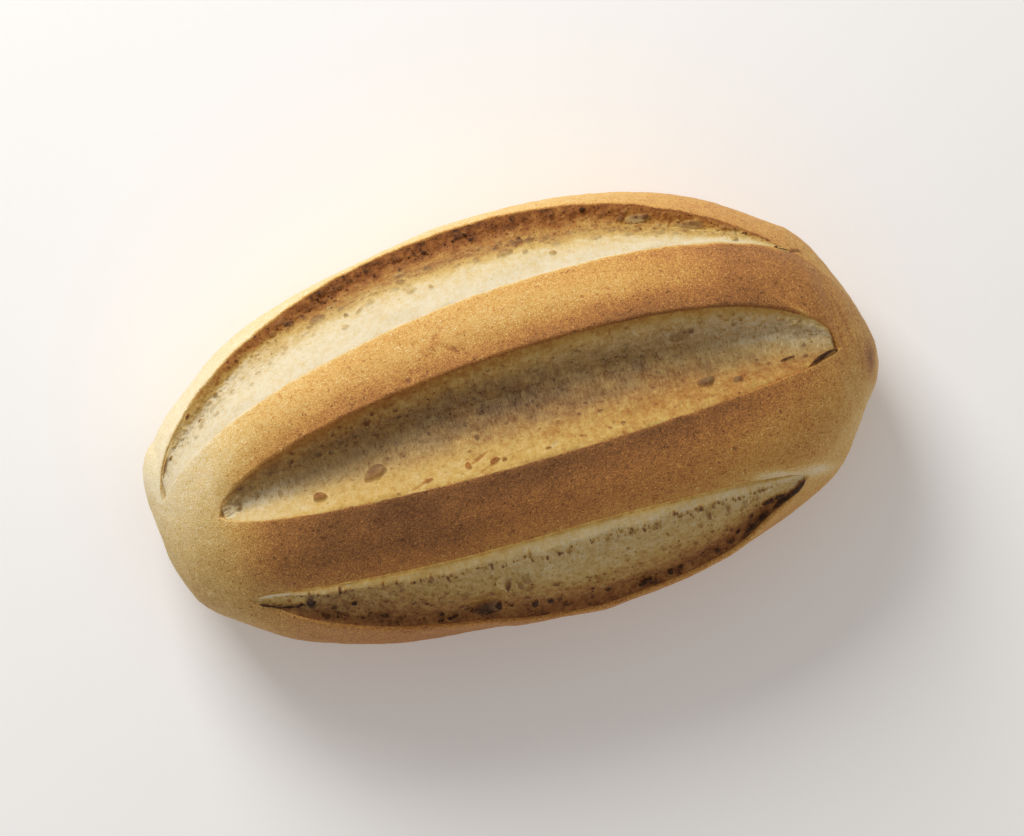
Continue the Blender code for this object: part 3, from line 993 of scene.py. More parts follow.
    def burst(self, pores: list[Pore]) -> tuple[Array, Array]:
        """Presses the pores into the bed, each a bowl, the larger ones with a thin raised rim.

        Args:
            pores: The pores and knobs.

        Returns:
            Heights, and how much browner, greyer and smoother each point is for the pore that it lies in.
            Browner and greyer is painted shade in a pore, paler is painted light on a knob or a rim.
        """
        flat, flat_normals = self.points.reshape(-1, 3), self.normals.reshape(-1, 3)
        tree = kdtree.KDTree(len(flat))
        for number, place in enumerate(flat):
            tree.insert(place, number)
        tree.balance()
        heights, tints = np.zeros(len(flat)), np.zeros((3, len(flat)))
        for pore in pores:
            centre, normal = flat[pore.place], flat_normals[pore.place]
            hollow = pore.seen_from_above and pore.depth > 0
            reach = self.search * max(pore.half_length, pore.half_width)
            if pore.seen_from_above:
                normal, reach = np.array([0.0, 0.0, 1.0]), self.slope_search * reach
            along = np.array([math.cos(pore.lean), math.sin(pore.lean), 0.0])
            along -= normal * (along @ normal)
            along /= np.linalg.norm(along)
            near = np.array([hit[1] for hit in tree.find_range(centre, reach)])
            offset = flat[near] - centre
            ahead = offset @ along / pore.half_length
            aside = offset @ np.cross(normal, along) / pore.half_width
            # An uneven outline, so that no pore is a neat ellipse.
            angle = np.arctan2(aside, ahead)
            phase = 2 * math.pi * ((pore.place * self.golden) % 1)
            twice, thrice = self.waves
            outline = 1 + twice * np.sin(2 * angle + phase) + thrice * np.sin(3 * angle + 2.3 * phase)
            reach = np.hypot(ahead, aside) / outline
            power = self.named_power if hollow else self.bowl_power
            bowl = (1 - np.minimum(reach, 1) ** power) ** (2 / power)
            rim = np.exp(-(((reach - self.rim_place) / self.rim_width) ** 2)) * pore.seen_from_above
            if pore.depth > 0:
                raised = self.rim_height * pore.depth * rim * (heights[near] > self.rim_floor)
                heights[near] = np.minimum(heights[near], -pore.depth * bowl) + raised
            else:
                heights[near] -= pore.depth * bowl
            # Painted shade: a pore is browner and greyer inside; a knob, with tints below zero, is paler as
            # painted light.
            tint = np.array([[pore.browning_and_shade], [pore.greying], [float(hollow)]]) * bowl
            before = tints[:, near]
            tints[:, near] = np.where(tint > 0, np.maximum(before, tint), before + tint)
            # A painted highlight on the raised rim.
            tints[0, near] -= self.rim_paler * abs(pore.browning_and_shade) * rim
        return heights.reshape(self.share.shape), tints.reshape(3, *self.share.shape)

    def read(self, table: Table, x: Array) -> Array:
        """Reads a table of values across and along the bed.

        Args:
            table: Rows, in percent, of a share across and the values there at BED_STATIONS.
            x: The station of each row of the bed.

        Returns:
            The value at each point.
        """
        rows = np.array([np.interp(x, BED_STATIONS, row[1:]) for row in table]).T / 100
        keys = [row[0] / 100 for row in table]
        return np.array([np.interp(share, keys, row) for share, row in zip(self.share, rows)])

    def looks(self, points: Array, tints: Array, cells: Array) -> dict[str, Array]:
        """What the crumb's finish reads at each point.

        Args:
            points: The finished bed.
            tints: How much browner, greyer and smoother each point is for its pore.
            cells: How far inside a foam cell it lies.

        Returns:
            Toast from 0, cream, to 1, dark brown, then greyness, roughness and streaks; the first two hold
            painted shade as well.
        """
        x = points[:, points.shape[1] // 2, 0]
        toast_and_shade, grey = self.read(self.toast_and_shade, x), self.read(self.grey, x)
        mottle = layered(points, self.mottle, 51) * (self.pale_mottle + toast_and_shade)
        toast_and_shade = toast_and_shade + mottle + self.cell_shade * cells + tints[0]
        grey = grey * (1 + layered(points, self.grey_mottle, 53)) + tints[1]
        return {
            "toast_and_shade": np.clip(toast_and_shade, 0, 1),
            "grey": np.clip(grey, 0, 1),
            "rough": np.interp(self.share, *np.transpose(self.roughness)),
            "streaks": np.interp(self.share, *np.transpose(self.streaks)),
        }

    def build(self) -> Piece:
        """Makes the bed as one closed piece.

        Returns:
            The object, with attributes for how brown and how grey it is, both with painted shade, and for
            how rough and how streaked it is.
        """
        self.lay_out()
        heights, tints = self.burst(self.scattered() + self.named())
        inside = smooth_step(np.minimum(self.share, 1 - self.share) / self.edge_fade)
        free = smooth_step(self.opened / self.relief_openness) * inside
        shown = smooth_step(self.opened / self.tint_openness) * inside
        fine, cells = self.relief()
        calm = 1 - self.calm * tints[2]
        finished = self.points + (free * (heights + calm * fine))[..., None] * self.normals
        looks = self.looks(finished, tints * shown, cells * calm * free)
        bm = bmesh.new()
        rows, columns = (count - 1 for count in self.share.shape)
        bmesh.ops.create_grid(bm, x_segments=rows, y_segments=columns, size=1)
        order = []
        for vertex in bm.verts:
            row = round((vertex.co.x + 1) / 2 * rows)
            column = round((vertex.co.y + 1) / 2 * columns)
            vertex.co = finished[row, column]
            order.append(row * (columns + 1) + column)
        edge = [line for line in bm.edges if line.is_boundary]
        skirt = bmesh.ops.extrude_edge_only(bm, edges=edge)["geom"]
        for part in skirt:
            if isinstance(part, bmesh.types.BMVert):
                part.co.z = self.keel
                order.append(0)
        bottom = [part for part in skirt if isinstance(part, bmesh.types.BMEdge) and part.is_boundary]
        bmesh.ops.contextual_create(bm, geom=bottom)
        bmesh.ops.recalc_face_normals(bm, faces=bm.faces)
        attributes = {label: values.ravel()[order] for label, values in looks.items()}
        return piece_from(bm, f"crumb_{self.cut.name.lower()}", attributes)


@dataclass
class FarBed(CrumbBed):
    """The bed of the far cut: brown and porous under its lip, cream towards the ridge."""

    cut: Cut = Cut.FAR
    profile: Line = (
        (0, -0.2), (0.03, 0.1), (0.08, 0.64), (0.15, 0.92), (0.22, 0.97), (0.35, 0.86), (0.6, 0.52),
        (0.85, 0.2), (1, 0.08),
    )
    keel: float = 0.046
    toast_and_shade: Table = (
        (0, 20, 72, 86, 88, 80, 70, 85), (5, 5, 56, 80, 83, 74, 54, 85),
        (10, 0, 3, 70, 77, 64, 40, 85), (16, 0, 2, 58, 68, 50, 30, 80),
        (30, 0, 3, 40, 63, 48, 34, 70), (44, 0, 3, 24, 59, 45, 33, 60),
        (55, 0, 3, 11, 40, 35, 27, 50), (66, 3, 3, 5, 15, 20, 19, 40),
        (90, 4, 4, 4, 4, 5, 5, 30), (100, 4, 4, 4, 4, 5, 30, 40),
    )
    grey: Table = (
        (0, 10, 0, 0, 0, 0, 0, 20), (15, 40, 25, 20, 15, 5, 0, 40),
        (40, 50, 40, 45, 40, 30, 20, 20), (60, 30, 15, 20, 20, 20, 15, 10),
        (100, 10, 0, 0, 0, 0, 0, 0),
    )
    roughness: Line = ((0, 0.6), (0.06, 1), (0.35, 1), (0.55, 0.5), (0.75, 0.12), (1, 0))
    streaks: Line = ((0, 0.2), (0.3, 0.3), (0.6, 0.25), (1, 0.1))
    zones: tuple[PoreZone, ...] = (
        PoreZone((0.02, 0.35), (-0.08, 0.1), 260, (0.0009, 0.0036), 1.8, 0.34, 0.02, greying=0.3),
        PoreZone((0.02, 0.3), (-0.132, -0.08), 70, (0.0007, 0.0022), 1.2, 0.5, 0.22),
        PoreZone((0.3, 0.6), (-0.125, 0.1), 190, (0.0009, 0.0036), 1.8, 0.5, 0.12, greying=0.5),
        PoreZone((0.5, 0.9), (-0.125, 0.1), 50, (0.0007, 0.0024), 1.4, 0.4, 0.12),
    )
    bubbles: tuple[Bubble, ...] = bubbles_from(
        (65.8, 59.4, 10, 4, 1, 0, -0.18, 0.8), (69.2, 59.6, 3, 2.4, 1.3, 0, 0.04, 0.6),
        (59.6, 61.5, 3, 2.4, 1, 0, 0.16, 0.5), (85, 51.8, 11.5, 3.2, 0.6, -12, 0.08, 0.6),
        (48.5, 56, 4, 2.2, 0.8, 0, 0.1), (46.7, 68.5, 2.4, 2, 1.2, 0, 0.3),
        (31.2, 54.3, 3, 1.8, 0.9, 0, 0.25), (23.9, 61.8, 3.4, 2.4, 1.1, 0, 0.2), (18.3, 61.4, 2.6, 2, 1),
        (20.3, 63.7, 2.2, 1.8, 1, 0, 0.3), (21.2, 57.6, 2.4, 1.8, 0.9),
        (13.6, 59.2, 6.2, 2.6, 1.1, 6, 0.22), (3.3, 68.6, 2.4, 1.8, 1.1, 0, 0.3),
        (1.1, 71.5, 2, 1.6, 1, 0, 0.3), (-15.5, 68.9, 2.4, 1.9, 1.1, 0, 0.35), (-16.4, 54.1, 2, 1.6, 0.8),
        (-23.9, 55, 4, 2.8, 0.7, 0, 0.16), (-27, 59.4, 3.2, 2, 1), (-26.1, 64.7, 2, 1.6, 1, 0, 0.25),
        (-61, 54.7, 7.7, 3.2, 1, 12, 0.2, 0.4), (-71.8, 56.4, 4, 2.6, 0.9, 10, 0.25, 0.6),
        (-50, 52.7, 2, 1.5, 0.9, 0, 0.3, 0.7), (-51.5, 48.3, 3.2, 2, 0.7, 0, 0.18),
        (-75.2, 46.9, 2.4, 1.6, 0.7, 0, 0.15), (-106, 38.5, 2.4, 1.8, 1.1, 20, 0.45),
        (-128.8, 19.7, 2.2, 1.8, 1, 50, 0.5), (98.9, 42, 3.2, 1.6, 0.9, -15, 0.3),
        (103.8, 43.4, 2.4, 1.4, 0.9, -15, 0.35), (117, 33, 9.5, 1.7, 1.5, -28, 0.9, 0.3),
        (113.6, 35, 2.6, 1.2, 1.2, 40, 0.8), (-132, 17.5, 9, 0.9, 0.6, 65, 0.55),
        (-135.4, 10, 6, 0.9, 0.6, 74, 0.55), (-118.6, 33.2, 3, 1, 0.7, 50, 0.6),
        (-114.2, 30.1, 1.8, 1.4, 0.9, 0, 0.5),
    )
    crag_height: float = 0.0003
    seed: int = 11


@dataclass
class MiddleBed(CrumbBed):
    """The bed of the middle cut, a valley: far side streaked and darkened by painted shade, golden near
    side.
    """

    cut: Cut = Cut.MIDDLE
    profile: Line = (
        (0, 0.03), (0.05, 0.25), (0.14, 0.48), (0.22, 0.72), (0.32, 0.95), (0.42, 1), (0.6, 0.78),
        (0.8, 0.38), (0.95, 0.03), (1, -0.045),
    )
    keel: float = 0.06
    # Its far side, from its edge to about half way across, is made brown and grey as painted shade cast by
    # the far ridge, darker than the crumb's own colour.
    toast_and_shade: Table = (
        (0, 40, 58, 62, 60, 54, 46, 40), (8, 30, 50, 54, 37, 26, 18, 24),
        (18, 24, 38, 54, 43, 22, 6, 20), (40, 8, 10, 42, 57, 44, 8, 24),
        (55, 6, 10, 42, 59, 57, 34, 28), (68, 12, 20, 40, 50, 58, 50, 34),
        (82, 18, 24, 36, 40, 56, 62, 44), (94, 20, 24, 34, 40, 50, 58, 48),
        (100, 26, 30, 44, 44, 50, 64, 54),
    )
    grey: Table = (
        (0, 50, 30, 10, 0, 0, 0, 20), (10, 90, 70, 40, 30, 25, 20, 40),
        (20, 100, 100, 95, 90, 85, 80, 80), (45, 100, 100, 95, 90, 80, 70, 70),
        (62, 80, 70, 70, 60, 60, 60, 80), (78, 30, 20, 20, 10, 15, 30, 60),
        (100, 0, 0, 0, 0, 0, 0, 20),
    )
    roughness: Line = ((0, 0.3), (0.1, 0.8), (0.35, 0.8), (0.6, 0.4), (1, 0.3))
    streaks: Line = ((0, 0.2), (0.15, 0.8), (0.35, 1), (0.6, 0.9), (0.75, 0.4), (1, 0.2))
    zones: tuple[PoreZone, ...] = (
        PoreZone((0.05, 0.32), (-0.11, 0.12), 220, (0.0008, 0.0028), 1.1, 0.7, 0.24),
        PoreZone((0.3, 0.6), (-0.11, 0.12), 110, (0.0007, 0.0022), 0.8, 0.6, 0.22),
        PoreZone((0.6, 1.0), (-0.11, 0.12), 150, (0.0006, 0.0019), browning_and_shade=0.2),
    )
    bubbles: tuple[Bubble, ...] = bubbles_from(
        (-77.3, -11.4, 5.8, 2.6, 2.2, 2, 0.34, 0.25), (-55.1, -8.1, 10.4, 4.2, 2.2, 18, 0.26, 0.3),
        (68.9, 12.1, 10.8, 3.8, 1, 4, 0.24, 0.5), (73.2, 12.6, 2.6, 2.4, 1.6, 0, 0.46, 0.5),
        (73.2, -8.3, 7.4, 2.8, 1.6, 3, 0.1, 0.6), (85, -10.5, 3.8, 2, 1.4, 0, 0.14, 0.6),
        (89.7, 11, 2.4, 1.7, 1.1, 0, 0.35), (92.4, 12, 1.9, 1.5, 1, 0, 0.35),
        (52.8, 8.3, 2.2, 1.7, 0.9, 0, 0.3), (-53.1, 11.3, 3, 2.2, 1.1, 10, 0.35),
        (-41.8, 12.8, 1.9, 1.5, 0.9, 0, 0.28), (-10.7, 3.3, 2.8, 2, 0.9, 40, 0.28),
        (-15, -5.4, 1.7, 2.5, 0.8, 0, 0.22), (-37, -16.6, 4.8, 1.7, 0.8, 8, 0.34, 0),
        (-16.6, -13.2, 10.5, 1.5, -0.6, 26, 0.26, 0), (-20.8, -15.2, 2.6, 3, 0.9, 0, 0.34, 0),
        (-10.8, -15.8, 4, 2.5, 1.1, 10, 0.34, 0), (-7.3, -16, 2, 1.6, 0.8, 0, 0.26, 0.2),
        (-13, -17.2, 12, 1.6, -0.4, 22, 0.16, 0), (-40, -17.2, 9, 1.4, -0.3, 20, 0.16, 0),
        (12.1, -16, 4.5, 1.7, -0.5, 18, -0.25), (9.5, -16.8, 2.2, 1.2, 0.7, 0, 0.3),
        (38.9, -15, 2, 1.4, 0.8, 0, 0.24), (32.2, -8.1, 3, 1.4, 0.6, 8, 0.18),
        (-91.7, -5.7, 1.8, 3.4, 1, 0, 0.26), (-107.9, -6.3, 3, 2, 1.4, 50, 0.5),
        (-111.5, -8.3, 4, 1.6, -0.6, 10, -0.3), (-104.5, -5, 3.6, 1.2, -0.5, 70, -0.3),
        (-100.5, -4, 1.2, 3, 0.8, -20, 0.3), (118.6, -10.4, 13, 1.7, 1.6, 19, 0.5),
        (106, -7.4, 6, 1, 0.8, 6, 0.35),
    )
    seed: int = 12


@dataclass
class NearBed(CrumbBed):
    """The bed of the near cut: pale smooth skin along its ridge, then grey-brown torn crumb."""

    cut: Cut = Cut.NEAR
    profile: Line = (
        (0, -0.06), (0.1, -0.18), (0.15, 0.12), (0.22, 0.39), (0.35, 0.62), (0.6, 0.86), (0.8, 0.94),
        (0.91, 0.86), (0.96, 0.54), (1, -0.1),
    )
    keel: float = 0.04
    toast_and_shade: Table = (
        (0, 46, 48, 50, 46, 46, 42, 30), (3.5, 24, 28, 34, 20, 22, 16, 5),
        (9, 14, 26, 34, 16, 18, 10, 3), (14, 24, 36, 38, 22, 24, 16, 12),
        (28, 40, 54, 42, 20, 26, 20, 20), (50, 54, 58, 50, 28, 34, 28, 50),
        (72, 60, 58, 58, 53, 55, 56, 62), (88, 62, 60, 64, 66, 70, 72, 76),
        (100, 70, 72, 76, 78, 80, 84, 80),
    )
    grey: Table = (
        (0, 0, 0, 0, 0, 0, 0, 0), (8, 10, 10, 5, 5, 5, 5, 10),
        (20, 60, 70, 50, 30, 30, 30, 30), (60, 70, 65, 45, 30, 25, 30, 30),
        (90, 60, 55, 45, 30, 25, 30, 30), (100, 40, 40, 35, 30, 30, 30, 30),
    )
    roughness: Line = ((0, 0.05), (0.08, 0.1), (0.14, 0.8), (0.5, 1), (0.95, 1), (1, 0.5))
    streaks: Line = ((0, 0.1), (0.07, 0.6), (0.14, 1), (0.35, 0.8), (0.6, 0.4), (1, 0.2))
    zones: tuple[PoreZone, ...] = (
        PoreZone((0.11, 0.19), (-0.1, 0.092), 200, (0.001, 0.0034), 0.4, 0.5, 0.5, 8.0, 0.6),
        PoreZone((0.18, 0.5), (-0.1, 0.09), 170, (0.0007, 0.0026), 0.8, 0.6, 0.2),
        PoreZone((0.5, 0.96), (-0.1, 0.09), 200, (0.0008, 0.0032), 1.2, 0.7, 0.3),
    )
    bubbles: tuple[Bubble, ...] = bubbles_from(
        (-28.6, -66.9, 13.2, 5, 1.6, 2, 0.2, 0.5), (-23.4, -66.8, 3, 2.4, 2.2, 0, 0.6),
        (-27, -69.4, 8, 0.8, 0.8, 6, 0.5), (-29.5, -63.9, 12.5, 1.3, -0.6, -4, -0.15, -0.4),
        (-21.6, -60.6, 7.4, 6.4, -2.2, 20, -0.1, -0.4), (-18.3, -60.6, 2.4, 3.6, 2.4, -20, 0.5),
        (-11, -61.3, 3.8, 3, 1.4, -60, 0.25), (-14, -62.5, 2.2, 3, 1, 20, 0.3),
        (-41.9, -67.2, 4.4, 1.9, 1.6, 6, 0.75), (-46.5, -67.3, 2.4, 1.3, 1, 6, 0.7),
        (-45.4, -64.6, 2, 1.6, 1, 0, 0.5), (-10.1, -70.1, 3.2, 2, 1.4, 0, 0.7),
        (-4.1, -70.6, 2.6, 1.7, 1.2, 0, 0.55), (32.2, -73.3, 5.8, 2.6, 1.8, 16, 0.75),
        (42.5, -72.2, 2.7, 2.4, 1.4, 30, 0.65), (-75.9, -51.9, 2.2, 1.8, 1.1, 0, 0.5),
        (42.5, -53.9, 1.6, 3.4, 1.3, 0, 0.3), (61.4, -55.8, 2, 4.4, 1.4, 0, 0.36),
        (69, -55.4, 1.8, 3, 1.2, 0, 0.28), (76, -55.2, 2, 3.2, 1.2, 0, 0.24),
        (6.8, -54.6, 1.8, 3, 1.1, 0, 0.28), (21.9, -54.4, 1.6, 3, 1.1, 0, 0.28),
        (-103, -43, 22, 5, -0.6, -18, -0.3, -0.6), (-108.3, -44.4, 8.5, 1.7, 1.6, -24, 0.8),
        (-103, -46.3, 4.6, 1, 1.2, -10, 0.75), (-99.2, -46.8, 3.8, 0.9, 1.1, -14, 0.75),
        (-95.6, -47.2, 3.8, 0.9, 1.1, 6, 0.75), (-91.3, -47, 4.2, 3.4, 1.5, 20, 0.42),
        (103, -49.6, 3.4, 1, 1, 30, 0.7), (97, -54.2, 9.5, 2.4, 1.8, 36, 0.8),
        (90, -55.8, 4.6, 1.6, 1.2, 10, 0.7), (85, -56.4, 5.6, 1.5, 1.2, 20, 0.65),
        (90, -59.4, 17, 4.6, 0.7, 38, 0.3), (79, -64.6, 20, 5, 0.6, 30, 0.22),
    )
    seed: int = 13


def add_node(
    material: Material,
    kind: str,
    settings: dict[str, Any] | None = None,
    inputs: dict[str | int, Any] | None = None,
    stops: Stops = (),
) -> bpy.types.Node:
    """Adds one shader node to a material.

    Args:
        material: The material that gets it.
        kind: The node's type.
        settings: Its own properties, by name.
        inputs: A value, or an output socket to link, for each input by name or number.
        stops: Places and hex colours, where it holds a colour ramp.

    Returns:
        The node.
    """
    tree = material.node_tree
    node = tree.nodes.new(kind)
    for name, value in (settings or {}).items():
        setattr(node, name, value)
    for name, value in (inputs or {}).items():
        if isinstance(value, Socket):
            tree.links.new(value, node.inputs[name])
        else:
            node.inputs[name].default_value = value
    for number, (place, code) in enumerate(stops):
        elements = node.color_ramp.elements
        element = elements[number] if number < 2 else elements.new(place)
        element.position, element.color = place, hex_colour(code)
    return node


def add_product(material: Material, value: Socket, factor: Socket | float, total: Socket | float) -> Socket:
    """Adds a node for value times factor plus total.

    Args:
        material: The material that gets it.
        value: The output that is multiplied.
        factor: What it is multiplied by.
        total: What the product is added to.

    Returns:
        The sum's output.
    """
    inputs = {0: value, 1: factor, 2: total}
    return add_node(material, "ShaderNodeMath", {"operation": "MULTIPLY_ADD"}, inputs).outputs[0]


def add_blend(material: Material, place: Socket, share: Socket, *ramps: Stops) -> Socket:
    """Adds two colour ramps and a blend between them.

    Args:
        material: The material that gets them.
        place: Where on the ramps the colour is read.
        share: How much of the second ramp's colour there is.
        *ramps: The places and hex colours of the two ramps.

    Returns:
        The output with the blended colour.
    """
    first, second = (
        add_node(material, "ShaderNodeValToRGB", None, {"Fac": place}, stops).outputs["Color"]
        for stops in ramps
    )
    inputs = {"Factor": share, 6: first, 7: second}
    return add_node(material, "ShaderNodeMix", {"data_type": "RGBA"}, inputs).outputs[2]


def add_attributes(material: Material, *labels: str) -> list[Socket]:
    """Adds nodes that read these attributes of the piece."""
    return [
        add_node(material, "ShaderNodeAttribute", {"attribute_name": label}).outputs["Fac"]
        for label in labels
    ]


def cover(piece: Piece, material: Material, colour: Socket, height: Socket, relief: float) -> None:
    """Finishes a material and puts it on a piece.

    Args:
        piece: The piece.
        material: Its material.
        colour: The base colour.
        height: The height of the relief that is too fine for the mesh.
        relief: The metres that a height of 1 stands for.
    """
    inputs = {"Strength": 0.8, "Distance": relief, "Height": height}
    bump = add_node(material, "ShaderNodeBump", None, inputs)
    shader = material.node_tree.nodes["Principled BSDF"]
    material.node_tree.links.new(colour, shader.inputs["Base Color"])
    material.node_tree.links.new(bump.outputs["Normal"], shader.inputs["Normal"])
    piece.data.materials.append(material)


def new_material(name: str, roughness: float) -> Material:
    """A material with only a Principled shader.

    Args:
        name: Its name.
        roughness: The shader's roughness.

    Returns:
        The material.
    """
    material = bpy.data.materials.new(name)
    material.use_nodes = True
    shader = material.node_tree.nodes["Principled BSDF"]
    values = {"Roughness": roughness, "Metallic": 0.0, "IOR": 1.45, "Specular IOR Level": 0.25}
    for label, value in values.items():
        shader.inputs[label].default_value = value
    return material


@dataclass(frozen=True)
class Mottle:
    """One layer of soft random spots that makes a surface browner or paler."""

    size: float  # of its lumps along the loaf, in metres
    share: float  # how far it moves the browning
    across: float = 1.0  # how many times longer its lumps are across the loaf
    between: Point2 | None = None  # separate flecks only, which begin and are full at these values
    pores: bool = False  # round pores of many sizes in place of flecks
    shrink: float = 0.6  # how much smaller chance makes them

    def spots(self, material: Material) -> Socket:
        """Adds the spots.

        Args:
            material: The material that gets them.

        Returns:
            The output that holds them: from about -1 to 1, or from 0 to 1 for flecks.
        """
        place = add_node(material, "ShaderNodeTexCoord").outputs["Object"]
        aside = 1 / (self.size * self.across)
        inputs = {0: place, 1: (1 / self.size, aside, aside)}
        scaled = add_node(material, "ShaderNodeVectorMath", {"operation": "MULTIPLY"}, inputs)
        inputs = {"Vector": scaled.outputs[0], "Scale": 1.0}
        if self.pores:
            cells = add_node(material, "ShaderNodeTexVoronoi", None, inputs).outputs
            # A random number for each cell makes its pore smaller, down to none.
            pattern = add_product(material, cells["Color"], self.shrink, cells["Distance"])
        else:
            inputs |= {"Detail": 1.0, "Roughness": 0.5}
            pattern = add_node(material, "ShaderNodeTexNoise", None, inputs).outputs["Fac"]
        if self.between:
            inputs = {"Value": pattern, "From Min": self.between[0], "From Max": self.between[1]}
            return add_node(material, "ShaderNodeMapRange", None, inputs).outputs["Result"]
        return add_product(material, pattern, 2.0, -1.0)


@dataclass(frozen=True)
class BakedCrust:
    """Wheat crust, baked dry and floured by its own fine bran: matt, sandy, pale cream to deep brown."""

    roughness: float = 0.62
    sand: Mottle = Mottle(0.60 * MM, 0.38)  # the glassy blisters that make the crust look sandy
    layers: tuple[Mottle, ...] = (
        Mottle(1.6 * MM, 0.13), Mottle(5.0 * MM, 0.07),
        Mottle(0.80 * MM, -0.29, between=(0.61, 0.71)),  # pale flecks of bran
        Mottle(1.5 * MM, 0.22, between=(0.63, 0.72)),  # and blisters that browned first
    )
    # The grain is strongest on golden crust: this much on the palest, and this much more half way.
    grain: Point2 = (0.40, 0.40)
    relief: float = 0.14 * MM
    stops: Stops = (
        (0.0, "#F8EACB"), (0.25, "#E9C67E"), (0.45, "#DCA857"), (0.65, "#BF8044"), (0.85, "#8E5F36"),
        (1.0, "#6A4324"),
    )
    # A darker, olive ramp: partly painted shade on the tips.
    dull_stops: Stops = (
        (0.0, "#F2E4BE"), (0.25, "#DCC080"), (0.45, "#BE9C5C"), (0.65, "#9A7640"), (0.85, "#765429"),
        (1.0, "#4C3418"),
    )

    def dress(self, piece: Piece) -> None:
        """Gives the piece this finish.

        Args:
            piece: An object with an attribute for how dark the crust is, with painted shade in it, and one
                for how dull and olive it is.
        """
        material = new_material("baked_wheat_crust", self.roughness)
        total, dull = add_attributes(material, "bake_and_shade", "dull")
        rise = 4 * self.grain[1]
        strength = add_product(material, total, add_product(material, total, -rise, rise), self.grain[0])
        sand = self.sand.spots(material)
        for layer, spots in [(self.sand, sand), *((part, part.spots(material)) for part in self.layers)]:
            strewn = add_product(material, spots, strength, 0.0)
            total = add_product(material, strewn, layer.share, total)
        colour = add_blend(material, total, dull, self.stops, self.dull_stops)
        cover(piece, material, colour, sand, self.relief)


@dataclass(frozen=True)
class TornCrumb:
    """Wheat crumb torn open and dried in the oven: matt, cream where it tore last, brown at the lips."""

    roughness: float = 0.75
    mottle: Mottle = Mottle(2.4 * MM, 0.14)
    grit: Mottle = Mottle(0.7 * MM, 0.14)
    strands: Mottle = Mottle(0.5 * MM, 0.20, across=6.0)
    pits: tuple[Mottle, ...] = (  # open cells too small for the mesh: bumps, and a browner colour in them that is painted shade
        Mottle(1.2 * MM, 0.32, between=(0.42, 0.28), pores=True),
        Mottle(2.4 * MM, 0.20, between=(0.40, 0.28), pores=True),
    )
    relief: float = 0.20 * MM
    relief_shares: Point3 = (0.4, -0.5, -1.0)  # how high the grit, the strands and the pits stand in it
    golden: Stops = (
        (0.0, "#E6D8B8"), (0.2, "#DEC48A"), (0.4, "#D0AB5D"), (0.6, "#B57F3D"), (0.75, "#A0642F"),
        (0.88, "#7E4A20"), (1.0, "#482A12"),
    )
    # Dense grey crumb, which also stands for painted shade in the middle cut's valley.
    dense_and_shaded: Stops = (
        (0.0, "#D8CAA4"), (0.3, "#B69A6A"), (0.6, "#8B6F4C"), (0.8, "#694E35"), (1.0, "#2E1E12"),
    )

    def dress(self, piece: Piece) -> None:
        """Gives the piece this finish.

        Args:
            piece: An object with attributes for how brown and how grey its crumb is, both with painted
                shade in them, and for how rough and how streaked it is.
        """
        material = new_material("torn_wheat_crumb", self.roughness)
        total, grey, rough, streaks = add_attributes(material, "toast_and_shade", "grey", "rough", "streaks")
        grit = self.grit.spots(material)
        drawn = add_product(material, self.strands.spots(material), streaks, 0.0)
        total = add_product(material, grit, self.grit.share, total)
        total = add_product(material, self.mottle.spots(material), self.mottle.share, total)
        total = add_product(material, drawn, self.strands.share, total)
        grit_height, strand_height, pit_height = self.relief_shares
        height = add_product(material, grit, grit_height, add_product(material, drawn, strand_height, 0.0))
        for layer in self.pits:
            holes = add_product(material, layer.spots(material), rough, 0.0)
            # Browner in the pits: painted shade.
            total = add_product(material, holes, layer.share, total)
            height = add_product(material, holes, pit_height, height)
        colour = add_blend(material, total, grey, self.golden, self.dense_and_shaded)
        cover(piece, material, colour, height, self.relief)


@dataclass
class Loaf:
    """The whole loaf: its crust and the crumb of its three cuts."""

    form: LoafForm = field(default_factory=LoafForm)
    crust_finish: BakedCrust = field(default_factory=BakedCrust)
    crumb_finish: TornCrumb = field(default_factory=TornCrumb)

    def build(self) -> None:
        """Builds and dresses each piece, hangs it under the root body and hides the imported loaf."""
        crust = CrustShell(self.form).build()
        self.crust_finish.dress(crust)
        beds = [bed(self.form).build() for bed in (FarBed, MiddleBed, NearBed)]
        for bed in beds:
            self.crumb_finish.dress(bed)
        for piece, slot in [(crust, "crust"), *((bed, "crumb") for bed in beds)]:
            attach(piece, "root")
            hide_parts("loaf")
            mesh = piece.data
            LOG.info("%s: %d points, %d faces", piece.name, len(mesh.vertices), len(mesh.polygons))


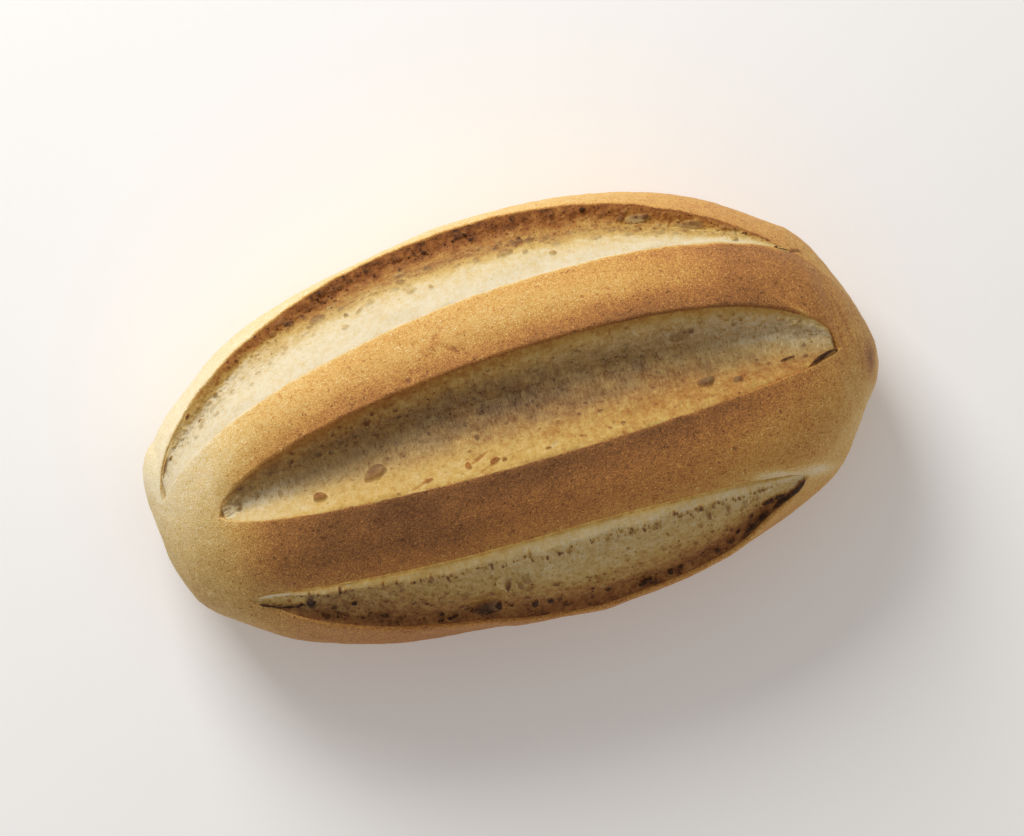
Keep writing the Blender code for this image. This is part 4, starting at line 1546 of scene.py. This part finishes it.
@dataclass
class Studio:
    """A pale floor, soft light from the far left, and the camera above the loaf."""

    floor_size: float = 3.0
    floor_colour: str = "#F8F8F6"
    floor_glow: float = 0.12  # lit a little from below, as a light table is
    light_size: float = 0.9
    light_distance: float = 1.7
    light_power: float = 23.0
    light_direction: Point3 = (-0.21, 0.79, 0.57)
    sky_strength: float = 0.36
    sky_colour: str = "#FFF8F5"  # warmed by the room's walls
    picture_width: int = 1024
    camera_distance: float = 1.8
    camera_elevation: float = math.radians(87)
    camera_turn: float = math.radians(-15.53)  # round Z, so that the loaf lies aslant in the picture
    target: Point3 = (0.0, 0.0, 0.045)
    sensor_width: float = 36.0  # millimetres
    sight: float = 20.0  # how far the camera sees
    picture_span: float = 1.024 / 2.6  # metres of the loaf's widest level that the picture's width shows
    picture_aside: float = 0.4  # pixels that the loaf stands left of the picture's middle
    picture_below: float = 1.08  # and below it

    def build_floor(self) -> None:
        """Lays the floor."""
        bm = bmesh.new()
        bmesh.ops.create_grid(bm, x_segments=1, y_segments=1, size=self.floor_size / 2)
        floor = piece_from(bm, "floor", {})
        material = new_material("matt_paper_sweep", 0.9)
        inputs = material.node_tree.nodes["Principled BSDF"].inputs
        for label in ("Base Color", "Emission Color"):
            inputs[label].default_value = hex_colour(self.floor_colour)
        inputs["Emission Strength"].default_value = self.floor_glow
        floor.data.materials.append(material)

    def build_light(self) -> None:
        """Hangs the soft light and fills the room with a soft sky."""
        lamp = bpy.data.lights.new("softbox", "AREA")
        lamp.shape, lamp.size, lamp.energy = "SQUARE", self.light_size, self.light_power
        softbox = bpy.data.objects.new("softbox", lamp)
        towards = Vector(self.light_direction).normalized()
        turned = towards.to_track_quat("Z", "Y").to_matrix().to_4x4()
        softbox.matrix_world = (
            Matrix.Translation(Vector(self.target) + towards * self.light_distance) @ turned
        )
        bpy.context.scene.collection.objects.link(softbox)
        sky = bpy.data.worlds.new("sky")
        sky.use_nodes = True
        background = sky.node_tree.nodes["Background"]
        background.inputs["Color"].default_value = hex_colour(self.sky_colour)
        background.inputs["Strength"].default_value = self.sky_strength
        bpy.context.scene.world = sky

    def build_camera(self) -> None:
        """Sets up the camera, nearly straight above the loaf."""
        lens = bpy.data.cameras.new("camera")
        camera = bpy.data.objects.new("camera", lens)
        tilt = math.pi / 2 - self.camera_elevation
        turned = Matrix.Rotation(self.camera_turn, 4, "Z") @ Matrix.Rotation(tilt, 4, "X")
        place = Vector(self.target) + turned @ Vector((0, 0, self.camera_distance))
        camera.matrix_world = Matrix.Translation(place) @ turned
        lens.sensor_width, lens.clip_end = self.sensor_width, self.sight
        belly_distance = self.camera_distance + self.target[2] - LoafForm.belly_height
        lens.lens = self.sensor_width * belly_distance / self.picture_span
        lens.shift_x = self.picture_aside / self.picture_width
        lens.shift_y = self.picture_below / self.picture_width
        bpy.context.scene.collection.objects.link(camera)
        bpy.context.scene.camera = camera

    def build(self) -> None:
        """Builds the whole studio."""
        self.build_floor()
        self.build_light()
        self.build_camera()
        bpy.context.scene.view_settings.view_transform = "Standard"


def main() -> None:
    """Builds the loaf and the studio round it."""
    logging.basicConfig(level=logging.INFO, format="%(name)s: %(message)s")
    Loaf().build()
    Studio().build()


if __name__ == "__main__":
    main()
